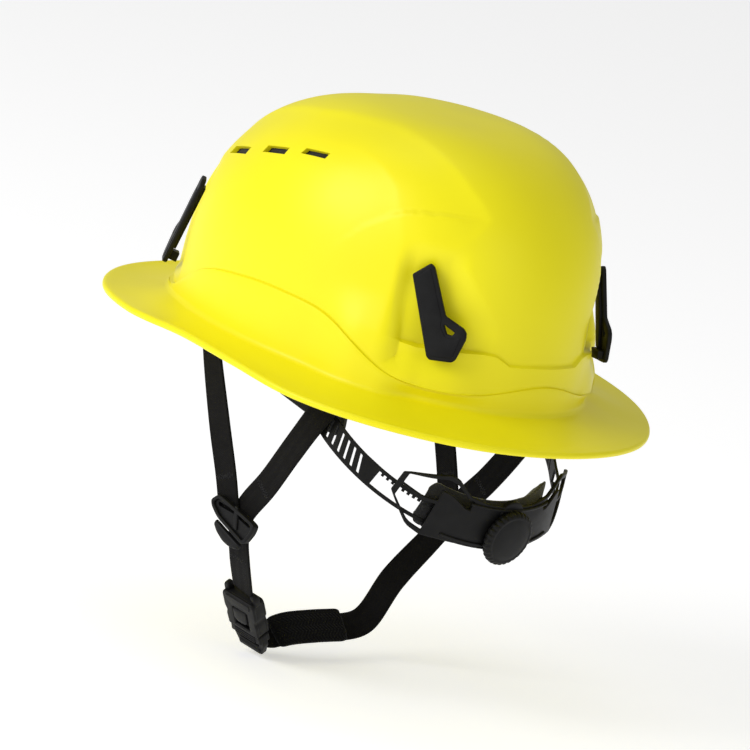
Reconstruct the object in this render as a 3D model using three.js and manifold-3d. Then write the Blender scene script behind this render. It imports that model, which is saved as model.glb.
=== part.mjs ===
// Full-brim safety helmet with a ratchet nape cradle and a four-point chin harness.
// Millimetres, +Z up, the peak of the brim points to -Y, the wearer's left is +X.
// The origin is the middle of the headband, where the head sits.
import * as THREE from 'three';
import Module from 'manifold-3d';

const wasm = await Module();
wasm.setup();

const RAD = Math.PI / 180;

// ---------------------------------------------------------------- driving dimensions
const crown = {
  halfWidth: 96.8,
  rear: 127,
  front: 133.4,
  springZ: 10,
  top: 136.1,
  squareness: [3.25, 3.75, 3.35, 2.68, 2.15],
};
const shellWall = 3.2;
const rim = {
  radius: [164.5, 162, 153.5, 143.5, 131, 128.5, 141, 154, 161.5, 163],
  lowerZ: [-15.5, -15, -13, -9.6, -4.2, -1.2, -1.4, -0.9, -0.5, -0.5],
  thickness: 4,
};
const junctionZ = [-3, -1, 3, 5, 2.5];
const stepZ = [14, 6.5, 9, 30, 35.5, 34.5, 28, 10, 8, 8];
const bandStep = 2.2;
const liner = { gap: 0.5, thickness: 12.8, lowerW: 0.02 };
const clipPocketDepth = 5;
const webbing = { width: 16, thickness: 1.2 };
const cradle = {
  centre: new THREE.Vector3(0, 50.4, -26.4),
  tilt: 33 * RAD,
  cone: 21 * RAD,
  radius: 80,
};
const arm = { half: 6.4, thickness: 1.4, middle: 0.8 };
const dial = { radius: 16, face: 10.2, foot: 4.5 };

// ---------------------------------------------------------------- small helpers
function group3(...parts) {
  const group = new THREE.Group();
  group.add(...parts);
  return group;
}

function finish(color, roughness, metalness = 0) {
  return new THREE.MeshStandardMaterial({ color, roughness, metalness });
}

const yellowShell = () => finish('#f0ee12', 0.38);
const blackPlastic = () => finish('#141416', 0.48);
const greyPlastic = () => finish('#3c3d40', 0.5);
const blackWebbing = () => finish('#1a1a1b', 0.85);
const blackFoam = () => finish('#202124', 0.95);
const linerFoam = () => finish('#2a2b2e', 0.9);
const steel = () => finish('#8d9094', 0.35, 0.9);

function solid(name, points, faces, material) {
  const geometry = new THREE.BufferGeometry();
  geometry.setAttribute('position', new THREE.Float32BufferAttribute(points.flat(), 3));
  geometry.setIndex(faces.flat());
  geometry.computeVertexNormals();
  const mesh = new THREE.Mesh(geometry, material);
  mesh.name = name;
  return mesh;
}

// Smooth interpolation of values given at equal azimuth steps from the rear (0) to the front (180).
function azimuthCurve(values, azimuth) {
  const step = 180 / (values.length - 1);
  const at = (k) => values[k < 0 ? -k : k > values.length - 1 ? 2 * (values.length - 1) - k : k];
  const t = Math.abs(((azimuth + 540) % 360) - 180) / step;
  const k = Math.min(Math.floor(t), values.length - 2);
  const u = t - k;
  const m0 = (at(k + 1) - at(k - 1)) / 2;
  const m1 = (at(k + 2) - at(k)) / 2;
  const u2 = u * u;
  const u3 = u2 * u;
  return (2 * u3 - 3 * u2 + 1) * at(k) + (u3 - 2 * u2 + u) * m0
    + (-2 * u3 + 3 * u2) * at(k + 1) + (u3 - u2) * m1;
}

function smooth(a, b, x) {
  const t = Math.min(Math.max((x - a) / (b - a), 0), 1);
  return t * t * (3 - 2 * t);
}

// ---------------------------------------------------------------- dome surface
// Azimuth in degrees from the rear toward the wearer's left; w runs from 0 at the springing
// line to 1 at the top; depth is measured inward from the outer skin.
function baseRadius(azimuth, depth = 0) {
  const s = Math.sin(azimuth * RAD);
  const c = Math.cos(azimuth * RAD);
  const length = (c > 0 ? crown.rear : crown.front) - depth;
  return 1 / Math.hypot(c / length, s / (crown.halfWidth - depth));
}

function pocket(azimuth, z) {
  const a = Math.abs(((azimuth + 540) % 360) - 180);
  let depth = 0;
  for (const middle of [34, 149]) {
    const across = 1 - smooth(5, 10.5, Math.abs(a - middle));
    const along = smooth(84, 62, z) * smooth(13.5, 18, z);
    depth = Math.max(depth, clipPocketDepth * across * along);
  }
  return depth;
}

function domePoint(azimuth, w, depth = 0) {
  const n = azimuthCurve(crown.squareness, azimuth);
  const z = crown.springZ + (crown.top - depth - crown.springZ) * w;
  const inset = Math.pow(Math.max(1 - Math.pow(Math.max(w, 0), n), 0), 1 / n);
  const r = baseRadius(azimuth, depth) * inset - pocket(azimuth, z);
  return [r * Math.sin(azimuth * RAD), r * Math.cos(azimuth * RAD), z];
}

function ringPoint(azimuth, r, z) {
  return [r * Math.sin(azimuth * RAD), r * Math.cos(azimuth * RAD), z];
}

// Closed body from rings of equal count; the first and last entries are single pole points.
function closedRings(name, first, rings, last, material) {
  const count = rings[0].length;
  const points = [first];
  for (const ring of rings) points.push(...ring);
  points.push(last);
  const faces = [];
  const id = (r, k) => 1 + r * count + (k % count);
  for (let k = 0; k < count; k += 1) {
    faces.push([0, id(0, k + 1), id(0, k)]);
    for (let r = 0; r < rings.length - 1; r += 1) {
      faces.push([id(r, k), id(r, k + 1), id(r + 1, k)]);
      faces.push([id(r, k + 1), id(r + 1, k + 1), id(r + 1, k)]);
    }
    faces.push([id(rings.length - 1, k), id(rings.length - 1, k + 1), points.length - 1]);
  }
  return solid(name, points, faces, material);
}

// Closed plate made of lattice cells: place(i, j, side) gives a node on side 0 or 1.
function cellPlate(name, columns, rows, isFilled, place, material) {
  const points = [];
  const faces = [];
  const seen = new Map();
  const filled = (i, j) => i >= 0 && j >= 0 && i < columns && j < rows && isFilled(i, j);
  const node = (i, j, side) => {
    const key = `${i},${j},${side}`;
    if (!seen.has(key)) {
      seen.set(key, points.length);
      points.push(place(i, j, side));
    }
    return seen.get(key);
  };
  const quad = (a, b, c, d) => faces.push([a, b, c], [a, c, d]);
  const wall = (i0, j0, i1, j1) => {
    quad(node(i0, j0, 1), node(i0, j0, 0), node(i1, j1, 0), node(i1, j1, 1));
  };
  for (let i = 0; i < columns; i += 1) {
    for (let j = 0; j < rows; j += 1) {
      if (!filled(i, j)) continue;
      quad(node(i, j, 1), node(i + 1, j, 1), node(i + 1, j + 1, 1), node(i, j + 1, 1));
      quad(node(i, j + 1, 0), node(i + 1, j + 1, 0), node(i + 1, j, 0), node(i, j, 0));
      if (!filled(i, j - 1)) wall(i, j, i + 1, j);
      if (!filled(i + 1, j)) wall(i + 1, j, i + 1, j + 1);
      if (!filled(i, j + 1)) wall(i + 1, j + 1, i, j + 1);
      if (!filled(i - 1, j)) wall(i, j + 1, i, j);
    }
  }
  return solid(name, points, faces, material);
}

// Turns every triangle over when the enclosed volume comes out negative.
function outward(mesh) {
  const position = mesh.geometry.attributes.position;
  const index = mesh.geometry.index.array;
  const a = new THREE.Vector3();
  const b = new THREE.Vector3();
  const c = new THREE.Vector3();
  let volume = 0;
  for (let k = 0; k < index.length; k += 3) {
    a.fromBufferAttribute(position, index[k]);
    b.fromBufferAttribute(position, index[k + 1]);
    c.fromBufferAttribute(position, index[k + 2]);
    volume += a.dot(b.cross(c));
  }
  if (volume < 0) {
    for (let k = 0; k < index.length; k += 3) {
      const keep = index[k + 1];
      index[k + 1] = index[k + 2];
      index[k + 2] = keep;
    }
  }
  mesh.geometry.computeVertexNormals();
  return mesh;
}

// Flat webbing or band: a rectangular section carried along a route.
function ribbon(name, route, thickness, material) {
  const points = [];
  const faces = [];
  route.forEach(({ at, across, width }, k) => {
    const before = route[Math.max(k - 1, 0)].at;
    const after = route[Math.min(k + 1, route.length - 1)].at;
    const along = new THREE.Vector3(...after).sub(new THREE.Vector3(...before)).normalize();
    const wide = new THREE.Vector3(...across);
    wide.addScaledVector(along, -wide.dot(along)).normalize();
    const thick = new THREE.Vector3().crossVectors(along, wide);
    for (const [p, q] of [[-1, -1], [1, -1], [1, 1], [-1, 1]]) {
      const corner = new THREE.Vector3(...at);
      corner.addScaledVector(wide, p * width / 2);
      corner.addScaledVector(thick, q * thickness / 2);
      points.push(corner.toArray());
    }
    if (k === 0) return;
    for (let e = 0; e < 4; e += 1) {
      const f = (e + 1) % 4;
      const a = 4 * (k - 1);
      const b = 4 * k;
      faces.push([a + e, a + f, b + f], [a + e, b + f, b + e]);
    }
  });
  const end = points.length - 4;
  faces.push([0, 3, 2], [0, 2, 1], [end, end + 1, end + 2], [end, end + 2, end + 3]);
  return outward(solid(name, points, faces, material));
}

function mirrored(mesh, name) {
  const copy = mesh.geometry.clone();
  copy.scale(-1, 1, 1);
  const result = new THREE.Mesh(copy, mesh.material.clone());
  result.name = name;
  return outward(result);
}

// Flat outline extruded by height, then moved into place by a basis matrix.
function slab(name, outline, holes, height, matrix, material) {
  const wound = (loop, sense) => {
    const points = loop.map(([x, y]) => new THREE.Vector2(x, y));
    return THREE.ShapeUtils.area(points) * sense < 0 ? points.reverse() : points;
  };
  const shape = new THREE.Shape(wound(outline, 1));
  for (const hole of holes) shape.holes.push(new THREE.Path(wound(hole, -1)));
  const geometry = new THREE.ExtrudeGeometry(shape, { depth: height, bevelEnabled: false });
  geometry.applyMatrix4(matrix);
  const mesh = new THREE.Mesh(welded(geometry), material);
  mesh.name = name;
  return outward(mesh);
}

function welded(source) {
  const plain = source.index ? source.toNonIndexed() : source;
  const position = plain.attributes.position;
  const seen = new Map();
  const points = [];
  const index = [];
  for (let k = 0; k < position.count; k += 1) {
    const p = [position.getX(k), position.getY(k), position.getZ(k)];
    const key = p.map((v) => Math.round(v * 1e4)).join(',');
    if (!seen.has(key)) {
      seen.set(key, points.length / 3);
      points.push(...p);
    }
    index.push(seen.get(key));
  }
  const kept = [];
  for (let k = 0; k < index.length; k += 3) {
    const [a, b, c] = [index[k], index[k + 1], index[k + 2]];
    if (a !== b && b !== c && a !== c) kept.push(a, b, c);
  }
  const geometry = new THREE.BufferGeometry();
  geometry.setAttribute('position', new THREE.Float32BufferAttribute(points, 3));
  geometry.setIndex(kept);
  return geometry;
}

function frameMatrix(x, y, z, origin) {
  const matrix = new THREE.Matrix4();
  matrix.makeBasis(x, y, z);
  matrix.setPosition(origin);
  return matrix;
}

function lathed(name, profile, segments, matrix, material) {
  const points = profile.map(([r, h]) => new THREE.Vector2(r, h));
  const geometry = new THREE.LatheGeometry(points, segments);
  geometry.applyMatrix4(matrix);
  const mesh = new THREE.Mesh(welded(geometry), material);
  mesh.name = name;
  return outward(mesh);
}

function toManifold(mesh) {
  const geometry = mesh.geometry;
  return new wasm.Manifold(new wasm.Mesh({
    numProp: 3,
    vertProperties: Float32Array.from(geometry.attributes.position.array),
    triVerts: Uint32Array.from(geometry.index.array),
  }));
}

function fromManifold(name, body, material) {
  const result = body.getMesh();
  const points = [];
  for (let k = 0; k < result.vertProperties.length; k += result.numProp) {
    points.push([...result.vertProperties.slice(k, k + 3)]);
  }
  const faces = [];
  for (let k = 0; k < result.triVerts.length; k += 3) {
    faces.push([...result.triVerts.slice(k, k + 3)]);
  }
  return solid(name, points, faces, material);
}

function joined(name, base, added, material) {
  let body = toManifold(base);
  for (const mesh of added) body = body.add(toManifold(mesh));
  return fromManifold(name, body, material);
}

function cut(name, base, removed, material) {
  let body = toManifold(base);
  for (const mesh of removed) body = body.subtract(toManifold(mesh));
  return fromManifold(name, body, material);
}

// ---------------------------------------------------------------- outer shell
const halfAround = [8, 16, 22, 25, 28, 31, 34, 37, 40, 43, 46, 54, 62, 71, 80, 90, 100, 109, 118,
  127, 135, 138, 141, 143.5, 146, 149, 152, 154.5, 157, 160, 165, 172];
const around = [0, ...halfAround, 180, ...halfAround.map((a) => 360 - a).reverse()];
const innerLevels = [0.07, 0.12, 0.26, 0.42, 0.6, 0.77, 0.9, 0.975];
const domeSteps = [0.995, 0.975, 0.94, 0.89, 0.82, 0.73, 0.62, 0.5, 0.38, 0.26, 0.15, 0.06];

function rimPoint(azimuth) {
  return [azimuthCurve(rim.radius, azimuth), azimuthCurve(rim.lowerZ, azimuth)];
}

function outerShell() {
  const rings = [];
  for (const f of domeSteps) {
    rings.push(around.map((a) => {
      const top = crown.top - crown.springZ;
      const w0 = (azimuthCurve(stepZ, a) + 0.9 - crown.springZ) / top;
      return domePoint(a, w0 + (1 - w0) * f);
    }));
  }
  const stepAt = (a, lift, out) => {
    const z = azimuthCurve(stepZ, a) + lift;
    const [x, y] = domePoint(a, (z - crown.springZ) / (crown.top - crown.springZ));
    return ringPoint(a, Math.hypot(x, y) + out, z);
  };
  const across = (a, t, drop) => {
    const [r1, z1] = rimPoint(a);
    const r0 = baseRadius(a) + bandStep + 2.5;
    const z0 = azimuthCurve(junctionZ, a);
    const z = z0 + (z1 + rim.thickness - z0) * t;
    return ringPoint(a, r0 + (r1 - r0) * t, z - drop);
  };
  const rimAt = (a, back, up) => {
    const [r1, z1] = rimPoint(a);
    return ringPoint(a, r1 - back, z1 + up);
  };
  rings.push(around.map((a) => stepAt(a, 0.9, 0)));
  rings.push(around.map((a) => stepAt(a, -0.5, bandStep)));
  rings.push(around.map((a) => ringPoint(a, baseRadius(a) + bandStep + 0.2,
    azimuthCurve(junctionZ, a) + 2.4)));
  rings.push(around.map((a) => across(a, 0, 0)));
  rings.push(around.map((a) => across(a, 0.5, 0)));
  rings.push(around.map((a) => rimAt(a, 2.5, rim.thickness)));
  rings.push(around.map((a) => rimAt(a, 0.6, rim.thickness - 0.6)));
  rings.push(around.map((a) => rimAt(a, 0, rim.thickness / 2)));
  rings.push(around.map((a) => rimAt(a, 0.6, 0.6)));
  rings.push(around.map((a) => rimAt(a, 2.5, 0)));
  rings.push(around.map((a) => rimAt(a, 4.2, 0.8)));
  rings.push(around.map((a) => across(a, 0.5, 3)));
  rings.push(around.map((a) => ringPoint(a, baseRadius(a) - 1.5,
    azimuthCurve(junctionZ, a) - 3.2)));
  rings.push(around.map((a) => domePoint(a, 0, shellWall)));
  for (const w of [liner.lowerW, ...innerLevels]) {
    rings.push(around.map((a) => domePoint(a, w, shellWall)));
  }
  const top = [0, 0, crown.top];
  const under = [0, 0, crown.top - shellWall];
  const body = outward(closedRings('raw', top, rings, under, yellowShell()));
  return cut('outer_shell', body, ventCutters(), yellowShell());
}

// Three raked slots each side, high on the front quarter, each rising toward the rear.
const vents = [
  { azimuth: 132, z: 93, length: 26, height: 4.8, rise: 0.27 },
  { azimuth: 107.5, z: 103, length: 21, height: 4.4, rise: 0.26 },
  { azimuth: 86, z: 109.5, length: 18.5, height: 3.8, rise: 0.15 },
];

function skinPoint(azimuth, z) {
  const w = (z - crown.springZ) / (crown.top - crown.springZ);
  return new THREE.Vector3(...domePoint(azimuth, w));
}

function ventFrame(vent, side) {
  const origin = skinPoint(vent.azimuth, vent.z);
  const level = skinPoint(vent.azimuth - 1, vent.z).sub(skinPoint(vent.azimuth + 1, vent.z));
  const steep = skinPoint(vent.azimuth, vent.z + 1).sub(skinPoint(vent.azimuth, vent.z - 1));
  const out = new THREE.Vector3().crossVectors(steep, level).normalize();
  if (out.z < 0) out.negate();
  const along = level.normalize().add(new THREE.Vector3(0, 0, vent.rise));
  along.addScaledVector(out, -along.dot(out)).normalize();
  for (const v of [origin, out, along]) v.x *= side;
  const up = new THREE.Vector3().crossVectors(out, along).multiplyScalar(side);
  return { origin, out, along, up };
}

function ventCutters() {
  const cutters = [];
  for (const side of [-1, 1]) {
    for (const vent of vents) {
      const f = ventFrame(vent, side);
      const start = f.origin.clone().addScaledVector(f.out, -7);
      const matrix = frameMatrix(f.along, f.up, f.out, start);
      const h = vent.length / 2;
      const v = vent.height / 2;
      const outline = [[-h - 1, -v], [h - 1.2, -v], [h, v], [-h + 1, v]];
      cutters.push(slab('slot', outline, [], 16, matrix, yellowShell()));
    }
  }
  return cutters;
}

// ---------------------------------------------------------------- foam inside the shell
function domeBody(name, wLow, depth0, depth1, material) {
  const levels = [...innerLevels].reverse().filter((w) => w > wLow + 0.02);
  levels.push(wLow);
  const rings = [];
  for (const w of levels) rings.push(around.map((a) => domePoint(a, w, depth1)));
  for (const w of [...levels].reverse()) {
    rings.push(around.map((a) => domePoint(a, w, depth0)));
  }
  const first = [0, 0, crown.top - depth1];
  const last = [0, 0, crown.top - depth0];
  return outward(closedRings(name, first, rings, last, material));
}

function domePatch(name, azimuths, levels, depth0, depth1, material) {
  return outward(cellPlate(name, azimuths.length - 1, levels.length - 1, () => true,
    (i, j, side) => domePoint(azimuths[i], levels[j], side ? depth0 : depth1), material));
}

const linerOut = shellWall + liner.gap;
const linerIn = linerOut + liner.thickness;
const padOut = linerIn + 0.5;
const impactLiner = domeBody('impact_liner', liner.lowerW, linerOut, linerIn, linerFoam());
const crownPad = domeBody('crown_pad', 0.9, padOut, padOut + 4.5, blackFoam());

function sweepRange(a, b, count) {
  return Array.from({ length: count + 1 }, (unused, k) => a + (b - a) * k / count);
}

const padFoam = [padOut + 1.9, padOut + 6.4];
const sidePadLeft = domePatch('side_pad_left', sweepRange(62, 112, 8),
  sweepRange(0.3, 0.62, 4), ...padFoam, blackFoam());
const sidePadRight = mirrored(sidePadLeft, 'side_pad_right');
const frontPad = domePatch('front_pad', sweepRange(160, 200, 8),
  sweepRange(0.5, 0.8, 4), ...padFoam, blackFoam());
const rearPad = domePatch('rear_pad', sweepRange(-20, 20, 8),
  sweepRange(0.25, 0.6, 4), ...padFoam, blackFoam());

// ---------------------------------------------------------------- headband
const bandSide = { half: 76, frontLength: 100, rearY: 46 };

function bandRoute(inset, halfTop, from, to, steps, clip = 1) {
  const route = [];
  for (const t of sweepRange(from, to, steps)) {
    const side = Math.sign(t) || 1;
    const b = Math.min(Math.abs(t), 90) * RAD;
    const run = Math.max(Math.abs(t) - 90, 0);
    const x = side * (bandSide.half - inset) * Math.sin(b);
    const y = -(bandSide.frontLength - inset) * Math.cos(b) + run;
    const z = -22.5 + 0.2 * (bandSide.rearY - y);
    const width = (15 + 7 * smooth(90, 20, Math.abs(t))) * clip;
    route.push({ at: [x, y, z + halfTop], across: [0, 0, 1], width });
  }
  return route;
}

const frontBand = ribbon('front_headband', bandRoute(0, 0, -90 - 39, 90 + 39, 42),
  1.6, blackPlastic());
const browPad = ribbon('brow_pad', bandRoute(3.9, 0, -66, 66, 22, 0.92), 5, blackFoam());

// ---------------------------------------------------------------- cradle cone
const coneAxis = new THREE.Vector3(0, Math.sin(cradle.tilt), Math.cos(cradle.tilt));
const coneRear = new THREE.Vector3(0, Math.cos(cradle.tilt), -Math.sin(cradle.tilt));

function conePoint(psi, v, out) {
  const radial = new THREE.Vector3(Math.sin(psi * RAD), 0, 0);
  radial.addScaledVector(coneRear, Math.cos(psi * RAD));
  const up = coneAxis.clone().multiplyScalar(Math.cos(cradle.cone));
  up.addScaledVector(radial, -Math.sin(cradle.cone));
  const normal = radial.clone().multiplyScalar(Math.cos(cradle.cone));
  normal.addScaledVector(coneAxis, Math.sin(cradle.cone));
  const p = cradle.centre.clone().addScaledVector(radial, cradle.radius);
  return p.addScaledVector(up, v).addScaledVector(normal, out).toArray();
}

function coneBasis(psi) {
  const o = new THREE.Vector3(...conePoint(psi, 0, 0));
  const up = new THREE.Vector3(...conePoint(psi, 1, 0)).sub(o);
  const out = new THREE.Vector3(...conePoint(psi, 0, 1)).sub(o);
  return { up, out, along: new THREE.Vector3().crossVectors(up, out) };
}

// Band arm: six raked ladder slots behind the temple, then a toothed rack slot.
const ladder = { slots: 6, pitch: 3.7, start: 86.2 };
const rack = { start: 59, end: -16, pitch: 2.5 };

function armColumns() {
  const edges = [98, 95, 92, 90];
  const kinds = ['web', 'web', 'web'];
  const push = (psi, kind) => {
    edges.push(psi);
    kinds.push(kind);
  };
  push(ladder.start, 'web');
  for (let k = 0; k < ladder.slots; k += 1) {
    push(ladder.start - k * ladder.pitch - 1.3, 'slot');
    push(ladder.start - (k + 1) * ladder.pitch, 'web');
  }
  push(rack.start, 'web');
  let psi = rack.start;
  while (psi - rack.pitch > rack.end) {
    push(psi - rack.pitch * 0.5, 'gap');
    push(psi - rack.pitch, 'tooth');
    psi -= rack.pitch;
  }
  push(psi - 2, 'web');
  push(psi - 5, 'web');
  return { edges, kinds };
}

function bandArm(name, side, lift, teethUp) {
  const { edges, kinds } = armColumns();
  const m = arm.middle;
  const rows = [-arm.half, -4.4, -3, 3, 4.4, arm.half];
  const isFilled = (i, j) => {
    if (j === 0 || j === 4 || kinds[i] === 'web') return true;
    if (kinds[i] === 'tooth') return j === (teethUp ? 3 : 1);
    return false;
  };
  const place = (i, j, face) => {
    const v = rows[j];
    const nearLadder = edges[i] <= ladder.start + 0.1 && edges[i] > rack.start + 2;
    const rake = nearLadder ? 0.4 * v : 0;
    const inner = -1.8 + lift * smooth(62, 48, edges[i]);
    const out = inner + (face ? arm.thickness : 0);
    return conePoint(side * (edges[i] + rake), v + m, out);
  };
  return outward(cellPlate(name, kinds.length, 5, isFilled, place, blackPlastic()));
}

const armLeft = bandArm('band_arm_left', 1, 0, true);
const armRight = bandArm('band_arm_right', -1, 2.2, false);

// Cradle housing: a curved plate whose ends are open six-sided loops.
const housingPsi = [0, 4, 8, 12, 16, 20, 24, 28, 31, 34, 36, 39, 42.6, 46.2, 49.2, 51.6];
const outlineLow = [[0, -8.3], [20, -8.3], [28, -9.3], [34, -10.8], [40, -9.4], [51.6, 2.6]];
const outlineTop = [[0, 17.4], [12, 17.8], [22, 19.6], [30, 26], [34, 26.4], [48.5, 17.2], [51.6, 14.4]];
const housingRows = [0, 0.075, 0.2, 0.275, 0.51, 0.575, 0.74, 0.8, 0.92, 1];

function piecewise(table, x) {
  for (let k = 1; k < table.length; k += 1) {
    if (x <= table[k][0]) {
      const t = (x - table[k - 1][0]) / (table[k][0] - table[k - 1][0]);
      return table[k - 1][1] + t * (table[k][1] - table[k - 1][1]);
    }
  }
  return table[table.length - 1][1];
}

function housing() {
  const psis = [...housingPsi.slice(1).map((p) => -p).reverse(), ...housingPsi];
  const isFilled = (i, j) => {
    const a = Math.abs((psis[i] + psis[i + 1]) / 2);
    if (a > 49.2) return true;
    return a < 34 ? j < 6 || j === 8 || a < 20 : j % 4 === 0;
  };
  const place = (i, j, face) => {
    const a = Math.abs(psis[i]);
    const low = piecewise(outlineLow, a);
    const v = low + (piecewise(outlineTop, a) - low) * housingRows[j];
    return conePoint(psis[i], v, face ? 4.3 : 2.3);
  };
  const plate = outward(cellPlate('plate', psis.length - 1, 9, isFilled, place, blackPlastic()));
  const lips = [[7.7, 9.3], [-8.0, -6.2]].map(([v0, v1]) => {
    const list = sweepRange(-33, 33, 22);
    return outward(cellPlate('lip', 22, 1, () => true,
      (i, j, face) => conePoint(list[i], j ? v1 : v0, face ? 3.3 : -2.1), blackPlastic()));
  });
  return joined('cradle_housing', plate, lips, blackPlastic());
}

const dialFrame = () => {
  const { up, out, along } = coneBasis(0);
  const origin = new THREE.Vector3(...conePoint(0, arm.middle, 0));
  return frameMatrix(along, out, up.clone().negate(), origin);
};

function pinionBore(radius) {
  return lathed('bore', [[0, -12], [radius, -12], [radius, 16], [0, 16]], 32, dialFrame(),
    blackPlastic());
}

const cradleHousing = cut('cradle_housing', housing(), [pinionBore(4.2)], blackPlastic());

function coverPlate() {
  const list = sweepRange(-33, 33, 22);
  const plate = outward(cellPlate('plate', 22, 1, () => true,
    (i, j, face) => conePoint(list[i], j ? 9.3 : -8, face ? -2.4 : -4.2), blackPlastic()));
  return cut('cradle_cover', plate, [pinionBore(1.6)], blackPlastic());
}

const cradleCover = coverPlate();

const napePad = outward(cellPlate('nape_pad', 20, 4, () => true,
  (i, j, face) => conePoint(-38 + 3.8 * i, -8.5 + 6.4 * j, face ? -4.7 : -10.7), blackFoam()));

// Ratchet dial with a ribbed grip, its pinion, click ring and screw.
function dialKnob() {
  const grip = lathed('grip', [[0, 4.7], [13.6, 4.7], [dial.radius, 5.4], [dial.radius, 8.6],
    [13.2, dial.face], [9.2, dial.face], [8.6, 9.4], [0, 9.4]], 48, dialFrame(), blackPlastic());
  const notches = [];
  for (let k = 0; k < 16; k += 1) {
    const a = k * 22.5 * RAD;
    const c = Math.cos(a) * (dial.radius + 0.9);
    const s = Math.sin(a) * (dial.radius + 0.9);
    const matrix = dialFrame().multiply(new THREE.Matrix4().makeTranslation(c, 0, s));
    notches.push(lathed('notch', [[0, 3], [1.7, 3], [1.7, 12], [0, 12]], 8, matrix,
      blackPlastic()));
  }
  notches.push(pinionBore(1.9));
  return cut('dial_knob', grip, notches, blackPlastic());
}

function drivePinion() {
  const outline = [];
  for (let k = 0; k < 18; k += 1) {
    const r = k % 2 ? 2.85 : 2.15;
    for (const d of [-6, 6]) {
      const a = (k * 20 + d) * RAD;
      outline.push([r * Math.cos(a), r * Math.sin(a)]);
    }
  }
  const turned = dialFrame().multiply(new THREE.Matrix4().makeRotationX(-Math.PI / 2));
  const at = turned.clone().multiply(new THREE.Matrix4().makeTranslation(0, 0, -2));
  const gear = slab('gear', outline, [], 6.3, at, blackPlastic());
  return cut('drive_pinion', gear, [pinionBore(1.2)], greyPlastic());
}

const dialKnobMesh = dialKnob();
const pinionMesh = drivePinion();
const dialScrew = lathed('dial_screw', [[0, -4.1], [0.9, -4.1], [0.9, 9.7], [3.1, 9.7],
  [3.1, 10.6], [2.4, 11.1], [0, 11.1]], 20, dialFrame(), steel());

// ---------------------------------------------------------------- temple hangers
function hanger() {
  const outline = [[-11, -8.5], [7, -10.5], [12, -6], [12, 6.5], [4, 10], [-11, 9]];
  const matrix = frameMatrix(new THREE.Vector3(0, 1, 0), new THREE.Vector3(0, 0, 1),
    new THREE.Vector3(1, 0, 0), new THREE.Vector3(70.2, 47, -24));
  return slab('temple_hanger_left', outline, [], 2, matrix, greyPlastic());
}

const hangerLeft = hanger();
const hangerRight = mirrored(hangerLeft, 'temple_hanger_right');

// ---------------------------------------------------------------- lamp clips
const rearClip = {
  outline: [[-4.2, -5], [4.4, 3], [6.9, 1.5], [18.6, -22.3], [29.8, -26.4], [31.8, -28.6],
    [32.2, -32], [29, -43.8], [27.2, -45.6], [15.2, -47], [13.2, -45.6]],
  hole: [[18.8, -26.9], [25.6, -29.8], [24.4, -31.6], [21.4, -31.4]],
  foot: [[15.4, -45.4], [26.8, -44], [28, -39], [13.6, -40]],
  reach: 3.4,
};
const frontClip = {
  outline: [[-5.6, -2], [-3.6, 1.6], [3.6, 2.6], [5.8, 0.4], [7.4, -10], [10.6, -26.5],
    [17, -31], [18.2, -34.5], [14.6, -48.6], [13.2, -50], [5, -50.4], [2.6, -49.2]],
  hole: [[9, -31.5], [11, -35.5], [14.2, -35.2], [12, -30.4]],
  foot: [[4.6, -47.8], [12.8, -47.8], [12.8, -42.6], [4.2, -42.6]],
  reach: 4.6,
};

function lampClip(name, form, x, y, z, normalAzimuth, sense, lean) {
  const n = normalAzimuth * RAD;
  const out = new THREE.Vector3(Math.sin(n), Math.cos(n), 0);
  const along = new THREE.Vector3(-Math.cos(n), Math.sin(n), 0).multiplyScalar(sense);
  const up = new THREE.Vector3(0, 0, 1).addScaledVector(out, -lean).normalize();
  const face = out.clone().addScaledVector(new THREE.Vector3(0, 0, 1), lean).normalize();
  const origin = new THREE.Vector3(x, y, z);
  const matrix = frameMatrix(along, up, face, origin);
  const plate = slab('bar', form.outline, [form.hole], 3, matrix, blackPlastic());
  const start = origin.clone().addScaledVector(face, -form.reach);
  const foot = slab('foot', form.foot, [], form.reach + 1, frameMatrix(along, up, face, start),
    blackPlastic());
  return joined(name, plate, [foot], blackPlastic());
}

const clipRearLeft = lampClip('lamp_clip_rear_left', rearClip, 66.2, 87.6, 69, 60, 1, 0.107);
const clipFrontLeft = lampClip('lamp_clip_front_left', frontClip, 61.2, -93.4, 66, 130, -1, 0.25);
const clipRearRight = mirrored(clipRearLeft, 'lamp_clip_rear_right');
const clipFrontRight = mirrored(clipFrontLeft, 'lamp_clip_front_right');

// ---------------------------------------------------------------- harness anchors and straps
function anchor(name, x, y, azimuth) {
  const a = azimuth * RAD;
  const out = new THREE.Vector3(Math.sin(a), Math.cos(a), 0);
  const along = new THREE.Vector3(-Math.cos(a), Math.sin(a), 0);
  const up = new THREE.Vector3(0, 0, 1);
  const matrix = frameMatrix(along, up, out, new THREE.Vector3(x, y, 0));
  const outline = [[-9.5, -5], [9.5, -5], [11, -2], [11, 6], [8, 9.5], [-8, 9.5], [-11, 6],
    [-11, -2]];
  const slot = [[-8.4, -2.6], [8.4, -2.6], [8.4, -0.6], [-8.4, -0.6]];
  return slab(name, outline, [slot], 2.6, matrix, blackPlastic());
}

const anchorFrontLeft = anchor('strap_anchor_front_left', 84.5, -46, 105);
const anchorRearLeft = anchor('strap_anchor_rear_left', 77.3, 61.4, 67);
const anchorFrontRight = mirrored(anchorFrontLeft, 'strap_anchor_front_right');
const anchorRearRight = mirrored(anchorRearLeft, 'strap_anchor_rear_right');

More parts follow.
